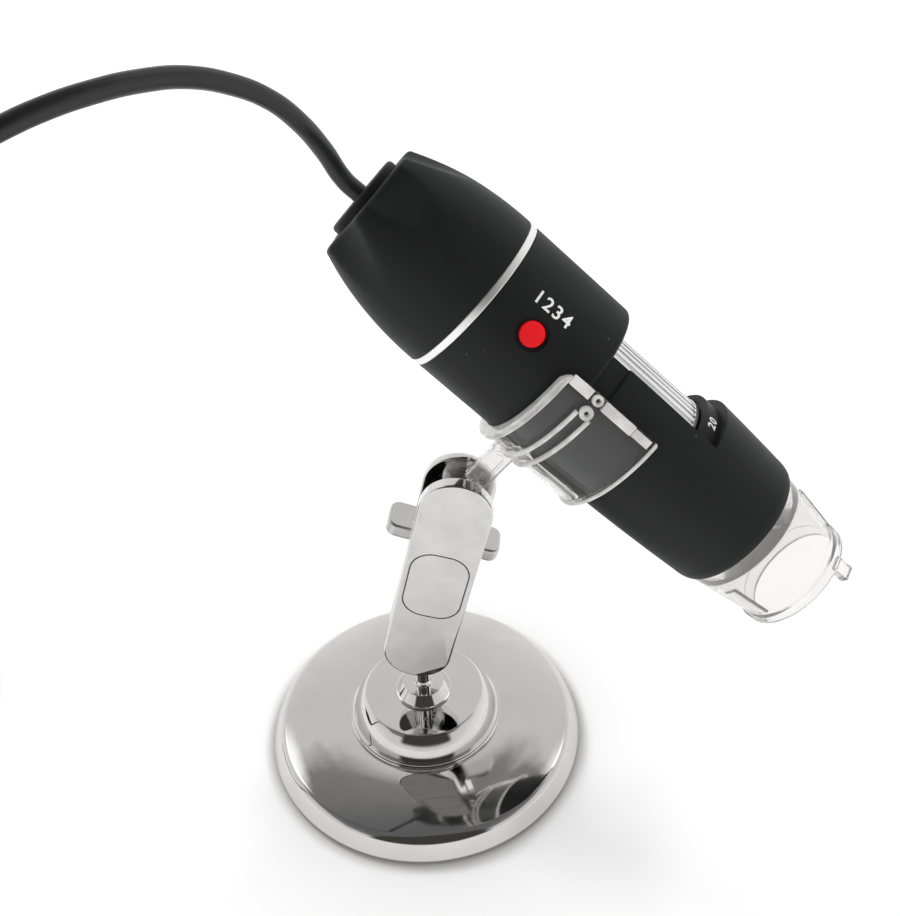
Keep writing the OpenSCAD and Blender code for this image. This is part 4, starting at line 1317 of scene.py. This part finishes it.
@dataclass
class Nose:
    """Clear cap ahead of the front housing."""

    z_front: float = 95.1
    length: float = 17.9
    mouth_r: float = 12.6
    root_r: float = 13.95
    nose_r: float = 12.3
    wall: float = 1.3
    tab_angle: float = 23.0
    rib_angles: tuple[float, ...] = (-25.0, 110.0, 217.0)

    def build(self) -> None:
        """Model the cone with its lip, its three ribs and the tab on its rim."""
        z_end = self.z_front + self.length
        lip, low = 2.7, self.z_front - 6.7
        inner, within = self.nose_r - 0.5 - self.wall, self.mouth_r - self.wall
        outline = softened([
            (self.mouth_r, low, 0.2), (self.mouth_r, self.z_front, 0), (self.root_r, self.z_front, 0.2),
            (self.nose_r - 0.55, z_end - lip, 0.3), (self.nose_r, z_end - lip + 0.5, 0.25), (self.nose_r, z_end, 0.7),
            (inner, z_end, 0.3), (inner, z_end - lip, 0.8), (self.root_r - 1.75, self.z_front + 3.65, 0.4),
            (within - 2.9, self.z_front + 0.9, 0.2), (within - 2.9, self.z_front, 0.2),
            (within, self.z_front - 1.2, 0.3), (within, low, 0.2)], 6)
        cap = Bench.lathe("clear_nose", outline, 144)
        x, z = self.nose_r - 0.4, z_end + 0.5
        tab = Bench.block("tab", (x - 0.95, -1.6, z - 2.1), (x + 0.95, 1.6, z + 2.1))
        Bench.place(tab, turned(self.tab_angle))
        Bench.ease(tab, 0.35)
        Bench.work(cap, tab, Join.WELD)
        slope = (self.root_r - self.nose_r + 0.55) / (self.length - lip)
        ends = [(z, self.root_r - slope * (z - self.z_front)) for z in (self.z_front + 5.4, z_end - lip - 0.6)]
        (z0, r0), (z1, r1) = ends
        rib = Bench.lathe("rib", [(r0 - 0.6, z0), (r0 + 0.5, z0), (r1 + 0.5, z1), (r1 - 0.6, z1)], 6, 13)
        Bench.ease(rib, 0.4, 4, 50)
        for angle in self.rib_angles:
            Bench.work(cap, Bench.copy(rib, "rib_twin", turned(angle)), Join.WELD)
        Bench.drop(rib)
        fit(cap, POSE.scope(), Finishes.CONE, Body.SCOPE, "nose_cap")


@dataclass
class Clip:
    """Clear C-clip with its tip bars, its stem and its ball."""

    inner: float = 16.58
    outer: float = 18.38
    start: float = 43.9
    length: float = 21.5
    wrap: float = 109.0
    tip: float = 3.75
    bead: float = 0.55
    rib: float = 0.95
    edge: float = 1.4
    thin: float = 0.6
    corners: Span = (3.6, 0.9)
    grain: float = 0.7
    stem_t: float = 3.0
    stem_w: float = 4.9
    stem_end: float = 28.9
    neck_r: float = 1.3
    ball_r: float = 3.8

    def rail(self, name: str, corners: list[Corner], short: float = 0) -> Piece:
        """Sweep a section around the clip and round the corners of its two tips.

        Args:
            name: name of the piece.
            corners: radius, station and fillet of the section's corners.
            short: angle that is left off at each tip.

        Returns:
            The rail, in the clip's frame.
        """
        outline: Outline = []
        path = softened(corners, 5)
        for (r0, w0), (r1, w1) in zip(path, path[1:] + path[:1]):
            parts = max(1, math.ceil(math.hypot(r1 - r0, w1 - w0) / self.grain))
            outline += [(r0 + (r1 - r0) * k / parts, w0 + (w1 - w0) * k / parts) for k in range(parts)]
        rail = Bench.lathe(name, outline, 150, 2 * (self.wrap - short))
        for v in rail.data.vertices:
            z = v.co.z / MM - self.start
            deep, round_r = min((z, self.corners[0]), (self.length - z, self.corners[1]))
            dip = max(0.0, round_r - deep)
            drop = round_r - math.sqrt(max(0.0, round_r ** 2 - dip ** 2))
            share = 1 - math.degrees(drop / self.outer) / self.wrap
            turn, r = math.atan2(v.co.y, v.co.x) * share, math.hypot(v.co.x, v.co.y)
            v.co.x, v.co.y = r * math.cos(turn), r * math.sin(turn)
        return rail

    def edges(self) -> tuple[Piece, Piece]:
        """Model the moulded edges, whose brightness is a painted highlight in their milky finish: end beads, split rib
        and pegs, and the frosted tip bars.

        Returns:
            The edges and the bars, in the clip's frame.
        """
        z0, z1, mid, out = self.start, self.start + self.length, POSE.clip_s, self.outer
        low, high, top = out + 0.02, out + self.bead, out + self.rib
        sunk, tail = high - 0.4, z0 + self.edge
        rails = [self.rail("bead", [(self.inner, z0, 0.2), (high, z0, 0.3), (high, z0 + 0.5, 0.2),
                                    (sunk, z0 + 0.6, 0.1), (sunk, tail - 0.4, 0.1), (high, tail - 0.3, 0.15),
                                    (high, tail, 0.15), (self.inner, tail, 0.05)]),
                 self.rail("line", [(self.inner, z1, 0.2), (high, z1, 0.25), (high, z1 - self.thin, 0.25),
                                    (self.inner, z1 - self.thin, 0.05)])]
        bars = []
        rails += [self.rail("rod", [(low, mid + side * 1.8, 0.05), (top, mid + side * 1.75, 0.35),
                                    (top, mid + side * 1.05, 0.35), (low, mid + side * 1.0, 0.05)], 15)
                  for side in (-1, 1)]
        bore = 0.45
        for side in (-1, 1):
            for a, b, tall, wide in ((45.32, 49.9, top, 6.0), (52.9, 60.0, top, 6.0), (60.1, 64.1, high, 5.0)):
                outline = softened([(low, a, 0.1), (tall, a, 0.4), (tall, b, 0.4), (low, b, 0.1)])
                bar = Bench.lathe("bar", outline, 8, wide, side * (self.wrap - self.tip))
                Bench.ease(bar, 0.42, 4, 50)
                bars.append(bar)
            for off, size in ((self.tip, 1.05), (12.6, 1.3)):
                outline = softened([(bore, low, 0), (size, low, 0.05), (size, top + 0.35, 0.35),
                                    (bore, top + 0.2, 0.15)], 4)
                peg = Bench.lathe("peg", outline, 40)
                Bench.place(peg, turned(side * (self.wrap - off)) @ shift(z=mid) @ turned(90, "Y"))
                rails.append(peg)
        return Bench.gather("clip_edges", rails), Bench.gather("clip_bars", bars)

    def build(self) -> None:
        """Model the clip in its own frame and put it around the sleeve."""
        mid, a, b = POSE.clip_s, self.start + self.edge + 0.02, self.start + self.length - self.thin - 0.02
        clip = self.rail("clear_clip", [(self.inner, a, 0.05), (self.outer, a, 0.05), (self.outer, b, 0.05),
                                        (self.inner, b, 0.05)])
        Bench.ease(clip, 0.25, 4, 55)
        stem = Bench.block("stem", (self.outer + 0.02, -self.stem_t / 2, mid - self.stem_w / 2),
                           (self.stem_end, self.stem_t / 2, mid + self.stem_w / 2), 0.45)
        for side in (-1, 1):
            groove = Bench.plate("groove", (7.4, 2.7), 1.3, (side * 0.8, side * 2.0), 8)
            Bench.place(groove, shift(24.2, 0, mid))
            Bench.work(stem, groove, Join.CUT)
        root, foot_r = self.stem_end - 0.6, 1.46
        ball = ball_line(self.ball_r, POSE.reach, self.neck_r, 28)
        tip = Bench.lathe("tip", [(0, root), (foot_r, root), (foot_r, root + 0.5), (self.neck_r, self.stem_end + 0.7),
                                  *ball, (0, POSE.reach + self.ball_r)], 48)
        Bench.place(tip, shift(z=mid) @ turned(90, "Y"))
        Bench.work(stem, tip, Join.WELD)
        edges, bars = self.edges()
        stem = Bench.gather("clip_stem", [stem])
        # the edges' milky finish paints the highlight of their bright refraction
        for piece, finish, nodes in ((clip, Finishes.CLEAR, ["clip"]), (stem, Finishes.MILK, []),
                                     (edges, Finishes.EDGE, []), (bars, Finishes.FROST, [])):
            fit(piece, POSE.scope() @ turned(POSE.stem_angle), finish, Body.HOLDER, *nodes, angle=36)


@dataclass
class Arm:
    """Clamp arm: two halves, bolt, washer and wing nut."""

    half: float = 7.55
    gap: float = 3.0
    front_t: float = 2.8
    rear_t: float = 2.2
    split: float = 0.4
    rim_t: float = 1.6
    rim_z: Span = (11.5, 31.3)
    socket_r: float = 3.85
    boss_r: float = 4.2
    bolt_r: float = 1.95
    nut_face: float = 6.05
    wing_turned: float = 4.0
    wing_span: float = 12.8
    panel_up: float = 0.5
    panel: Span = (12.2, 18.0)
    line: float = 0.3
    facet_turn: float = 140.0
    facet_at: float = 5.9

    def round_bar(self, radius: float, near: float, far: float) -> Piece:
        """Model a round bar along Y through the clamp's axis.

        Args:
            radius: its radius.
            near: where it starts along Y.
            far: where it ends along Y.

        Returns:
            The bar, in the arm's frame.
        """
        bar = Bench.lathe("bar", [(0, near), (radius, near), (radius, far), (0, far)], 64)
        Bench.place(bar, shift(z=POSE.arm_pitch / 2) @ turned(-90, "X"))
        return bar

    def half_arm(self, name: str, side: int, thick: float, crisp: float) -> Piece:
        """Model one half of the arm.

        Args:
            name: name of the piece.
            side: -1 for the front half and 1 for the rear half.
            thick: thickness of its plate.
            crisp: bevel around its outer face.

        Returns:
            The half, in the arm's frame.
        """
        inner, outer = side * self.gap, side * (self.gap + thick)
        plate = Bench.plate(name, (2 * self.half, POSE.arm_pitch + 2 * self.half), self.half, (inner, outer), 36)
        Bench.round_rim(plate, outer, crisp, 5)
        Bench.round_rim(plate, inner, 0.3, 3)
        Bench.place(plate, shift(z=POSE.arm_pitch / 2))
        low, high = sorted((side * (self.gap + 0.3), side * self.split))
        for x in (-1, 1):
            left, right = sorted((x * (self.half - self.rim_t), x * (self.half - 0.02)))
            rim = Bench.block("rim", (left, low, self.rim_z[0]), (right, high, self.rim_z[1]), 0.3)
            Bench.work(plate, rim, Join.WELD)
        Bench.work(plate, self.round_bar(self.boss_r, low, high), Join.WELD)
        for z in (0, POSE.arm_pitch):
            ball = Bench.lathe("ball", ball_line(self.socket_r, 0, 0, 32) + [(0, self.socket_r)], 64)
            Bench.place(ball, shift(z=z))
            Bench.work(plate, ball, Join.CUT)
        return plate

    def front(self) -> None:
        """Model the front half with the facet on its lower end and the bare framed panel on its face."""
        front = self.half_arm("arm_front_cast", -1, self.front_t, 0.5)
        Bench.work(front, self.round_bar(self.bolt_r + SLACK, -self.gap - 1.6, 1), Join.CUT)
        face = -self.gap - self.front_t
        facet = Bench.block("edge", (-15, -4, -3), (15, 0, 8))
        Bench.place(facet, shift(y=face) @ turned(self.facet_turn, "Y") @ shift(z=self.facet_at) @ turned(-5, "X"))
        Bench.work(front, facet, Join.CUT)
        wide, tall = (size + 2 * self.line for size in self.panel)
        line = Bench.plate("frame_tool", (wide, tall), 4.9, (face - 0.5, face + 0.5), 12)
        Bench.work(line, Bench.plate("panel", self.panel, 4.9 - self.line, (face - 1, face + 1), 12), Join.CUT)
        Bench.place(line, shift(z=POSE.arm_pitch / 2 + self.panel_up))
        Bench.work(front, line, Join.CUT)
        fit(front, POSE.arm(), Finishes.ARM, Body.ARM, "arm_front")
        self.polish(front, face)

    def rear(self) -> None:
        """Model the rear half."""
        rear = self.half_arm("arm_rear_cast", 1, self.rear_t, 0.6)
        Bench.work(rear, self.round_bar(self.bolt_r + 0.2, -1, self.gap + self.rear_t + 1), Join.CUT)
        fit(rear, POSE.arm(), Finishes.ARM, Body.CLAMP_HALF, "arm_rear")
        self.polish(rear, self.gap + self.rear_t)

    def polish(self, half: Piece, face: float) -> None:
        """Polish all but the flat outer face of a half, and darken the line around its panel.

        Args:
            half: the dressed half, in its place.
            face: where its outer face is along Y.
        """
        for finish in (Finishes.ARM_EDGE, Finishes.ARM_LINE):
            half.data.materials.append(finish.material())
        back = POSE.arm().inverted()
        for patch in half.data.polygons:
            at = back @ patch.center / MM
            depth = abs(at.y - face)
            in_panel = abs(at.x) < 6.8 and abs(at.z - POSE.arm_pitch / 2 - self.panel_up) < 9.8
            patch.material_index = 0 if depth < 0.01 else 2 if in_panel and depth < 0.6 else 1
        flat = {key for patch in half.data.polygons if patch.material_index == 0 for key in patch.edge_keys}
        for line in half.data.edges:
            if line.key in flat:
                line.use_edge_sharp = True

    def wing_nut(self) -> None:
        """Model the wing nut from its hub and two rounded ears."""
        foot, top, tall = 4.6, 3.6, 5.2
        bore = self.bolt_r + SLACK
        outline = softened([(bore, 0, 0.2), (foot, 0, 0.2), (foot, 0.6, 0.2), (top, tall, 0.6), (bore, tall, 0.3)], 4)
        nut = Bench.lathe("wing_nut_cast", outline, 64)
        Bench.place(nut, turned(-90, "X"))
        root, long, tall, thick = 2.6, self.wing_span - 2.6, 8.4, 3.4
        for x in (-1, 1):
            ear = Bench.plate("ear", (long, tall), 2.2, (-thick / 2, thick / 2), 10)
            Bench.ease(ear, 0.7, 4, 50)
            Bench.place(ear, shift(x * (root + long / 2), 2 + tall / 2) @ turned(-90, "X"))
            Bench.work(nut, ear, Join.WELD)
        where = POSE.arm() @ shift(0, self.nut_face, POSE.arm_pitch / 2) @ turned(self.wing_turned, "Y")
        fit(nut, where, Finishes.NUT, Body.WING, "wing_nut", angle=36)

    def build(self) -> None:
        """Build the halves and the wing nut and dress the bolt and washer."""
        self.front()
        self.rear()
        self.wing_nut()
        coat(Finishes.STEEL, "clamp_bolt", "clamp_washer")


@dataclass
class Stand:
    """Chrome base and its ball stud."""

    base_r: float = 37.0
    rim_z: float = 5.9
    boss_z: float = 14.8
    boss_r: float = 13.7
    boss_foot: float = 17.6
    ball_r: float = 3.8
    stud_r: float = 3.0
    collar_r: float = 6.5
    collar_h: float = 2.7

    def dish(self) -> None:
        """Model the round base with its rolled rim, shallow crown and domed boss."""
        edge = self.base_r - 2.1
        skirt = softened([(self.base_r - 1.6, 0.85, 0), (self.base_r, 0.85, 0.3), (self.base_r, 1.5, 0.4),
                          (edge - 0.05, self.rim_z + 0.08, 2.6), (edge - 3.5, self.rim_z + 0.85, 0)], 10)[:-1]
        crown = [(edge - 0.9 - (edge - 1.2 - self.boss_foot) * x, self.rim_z + 0.27 + 1.43 * (1 - (1 - x) ** 2.5))
                 for x in (k / 28 for k in range(1, 29))]
        bulge, high = 14.6, math.radians(38)
        shoulder = [(self.boss_r + 0.6 + bulge * (math.cos(a) - math.cos(high)),
                     self.boss_z - 0.45 + bulge * (math.sin(a) - math.sin(high)))
                    for a in (math.radians(15 + 23 * k / 14) for k in range(15))]
        wall = softened([(self.boss_foot + 0.15, self.rim_z + 1.75, 0), (self.boss_foot, self.rim_z + 1.95, 0.1),
                         (self.boss_foot, self.rim_z + 2.7, 0.5), (*shoulder[0], 0)], 6)[:-1]
        top = softened([(*shoulder[-1], 0), (self.boss_r + 0.1, self.boss_z, 0.3), (self.boss_r - 0.9, self.boss_z, 0),
                        (self.stud_r + 0.3, self.boss_z, 0), (self.stud_r + SLACK, self.boss_z, 0)], 5)[1:]
        under, roof, foot = self.boss_z - 1.6, self.rim_z - 1.2, self.boss_foot - 2.2
        within = [(self.stud_r + SLACK, under), (self.boss_r - 1.6, under), (foot, self.boss_z - 5), (foot, roof),
                  (edge - 1.9, roof)]
        dish = Bench.lathe("chrome_base", skirt + crown + wall + shoulder + top + within, 220)
        fit(dish, Matrix(), Finishes.CHROME, Body.BASE, "base_dish", angle=28)

    def stud(self) -> None:
        """Model the stud with its collar, neck and ball."""
        top, neck = self.boss_z + 0.05, 1.6
        meet = POSE.ball_z - math.sqrt(self.ball_r ** 2 - neck ** 2)
        shaft = softened([(0, self.boss_z - 6, 0), (self.stud_r, self.boss_z - 6, 0.3), (self.stud_r, top, 0),
                          (self.collar_r + 0.1, top, 0.12), (self.collar_r + 0.1, top + 0.4, 0.14),
                          (self.collar_r - 0.25, top + 0.5, 0.05), (self.collar_r - 1.8, top + self.collar_h, 0.14),
                          (neck + 0.5, top + self.collar_h, 0.3), (neck, top + self.collar_h + 0.9, 0.8),
                          (neck, meet, 0)], 6)
        ball = ball_line(self.ball_r, POSE.ball_z, neck, 32)[1:]
        stud = Bench.lathe("ball_stud_turned", shaft + ball + [(0, POSE.ball_z + self.ball_r)], 96)
        fit(stud, Matrix(), Finishes.CHROME, Body.STUD, "ball_stud", angle=36)

    def build(self) -> None:
        """Build the base and the stud, and dress what is under them."""
        self.dish()
        self.stud()
        coat(Finishes.STEEL, "stud_nut", "base_weight")
        coat(Finishes.PAD, "foot_pad")


def main() -> None:
    """Build the studio and every sub-assembly in order."""
    logging.basicConfig(level=logging.INFO, format="%(name)s: %(message)s")
    for part in (Studio(), Cord(), Barrel(), Nose(), Clip(), Arm(), Stand()):
        part.build()
        LOG.info("%s done", type(part).__name__)
    Bench.clear()


if __name__ == "__main__":
    main()
